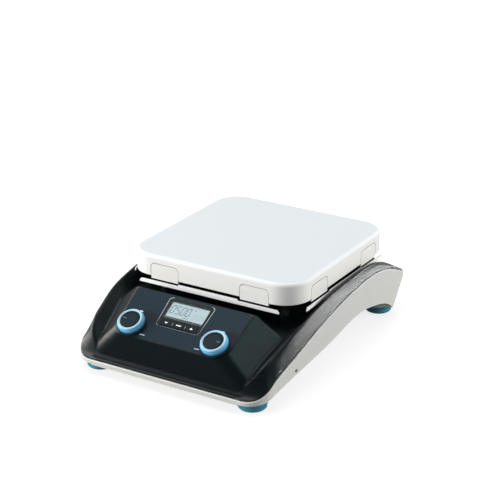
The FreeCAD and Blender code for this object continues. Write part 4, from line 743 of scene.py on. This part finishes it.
# Strokes of a seven-part digit in a cell one wide and one high, and the gap left at their ends
STROKES = {
    "a": ((0, 1), (1, 1)), "b": ((1, 1), (1, 0.5)), "c": ((1, 0.5), (1, 0)), "d": ((0, 0), (1, 0)),
    "e": ((0, 0), (0, 0.5)), "f": ((0, 0.5), (0, 1)), "g": ((0, 0.5), (1, 0.5)),
}
DIGITS = {"0": "abcdef", "5": "acdfg"}
STROKE_GAP = 0.12


def stroke_points(start, end, thick):
    """Bar with pointed ends between two points."""
    along = (end - start).normalized()
    across = Vector((-along.y, along.x)) * thick / 2
    near = start + along * thick * STROKE_GAP
    far = end - along * thick * STROKE_GAP
    shoulder = along * thick / 2
    return [near, near + shoulder - across, far - shoulder - across,
            far, far - shoulder + across, near + shoulder + across]


def write_number(form, text, corner, size, pitch, thick):
    """Adds digits that lean to the right, from the lower left corner of the first."""
    for place, figure in enumerate(text):
        for stroke in DIGITS[figure]:
            ends = [Vector((x * size[0], y * size[1])) for x, y in STROKES[stroke]]
            outline = stroke_points(ends[0], ends[1], thick)
            left = corner[0] + place * pitch
            shifted = [(left + p.x + DIGIT_LEAN * p.y, corner[1] + p.y) for p in outline]
            plate_form(form, shifted, GLASS_TOP, GLASS_TOP + PRINT_DEPTH)


def display_ground():
    """Dark mask and pale glass, just behind the window."""
    form = bmesh.new()
    plate_form(form, bar_points(0.0, WINDOW_UP, *WINDOW_SIZE),
               GLASS_TOP - 2 * PRINT_DEPTH, GLASS_TOP - PRINT_DEPTH)
    panel_piece("display_mask", form, "bezel_black")
    form = bmesh.new()
    plate_form(form, bar_points(0.0, GLASS_UP, *GLASS_SIZE), GLASS_TOP - PRINT_DEPTH, GLASS_TOP)
    panel_piece("display_glass", form, "lcd_pale")


def display_figures():
    """The number, a faint second number and small marks on the glass."""
    form = bmesh.new()
    write_number(form, DISPLAY_TEXT, *MAIN_NUMBER)
    panel_piece("display_digits", form, "digit_grey")
    form = bmesh.new()
    write_number(form, DISPLAY_TEXT, *SMALL_NUMBER)
    panel_piece("display_small_digits", form, "digit_faint")
    form = bmesh.new()
    for x, up in DISPLAY_MARKS:
        plate_form(form, bar_points(x, up, *DISPLAY_MARK_SIZE), GLASS_TOP, GLASS_TOP + PRINT_DEPTH)
    panel_piece("display_marks", form, "digit_grey")


def key_icons():
    """A sign on each key and the lines between the keys."""
    for place, (key, outline) in enumerate(KEY_SIGNS.items()):
        middle = (place - 1) * KEY_PITCH
        form = bmesh.new()
        print_form(form, [(middle + x, KEY_UP + y) for x, y in outline], KEY_TOP)
        panel_piece(key + "_icon", form, "print_white", key)
    form = bmesh.new()
    for side in (-1, 1):
        print_form(form, bar_points(side * KEY_PITCH / 2, KEY_UP, *SEPARATOR_SIZE), BEZEL_TOP)
    panel_piece("key_separators", form, "print_grey")


def side_marks(name, place, size, material):
    """The same printed bar on both halves of the panel."""
    form = bmesh.new()
    for side in (-1, 1):
        print_form(form, bar_points(side * place[0], place[1], *size), SHEET_TOP)
    panel_piece(name, form, material)


def knob_marks():
    """Printed marks beside the knobs and a pointer on each cap."""
    side_marks("knob_top_marks", TOP_MARK_PLACE, TOP_MARK_SIZE, "print_white")
    side_marks("knob_side_marks", SIDE_MARK_PLACE, SIDE_MARK_SIZE, "print_grey")
    for name, side, body in (("temperature", -1, "temperature_knob"), ("speed", 1, "speed_knob")):
        form = bmesh.new()
        print_form(form, bar_points(side * (KNOB_X + POINTER_OUT), KNOB_UP, *POINTER_SIZE), CAP_TOP)
        panel_piece(name + "_pointer", form, "pointer_grey", body)


place_camera()
light_studio()
make_world()
make_finish_group()
make_edge_group()
make_zone_groups()
make_floor()
finishes = {**outer_finishes(), **console_finishes(), **inner_finishes(), **print_finishes()}
dress_nodes(finishes)
display_surround()
display_ground()
display_figures()
key_icons()
knob_marks()
bpy.context.scene.view_settings.view_transform = "Standard"
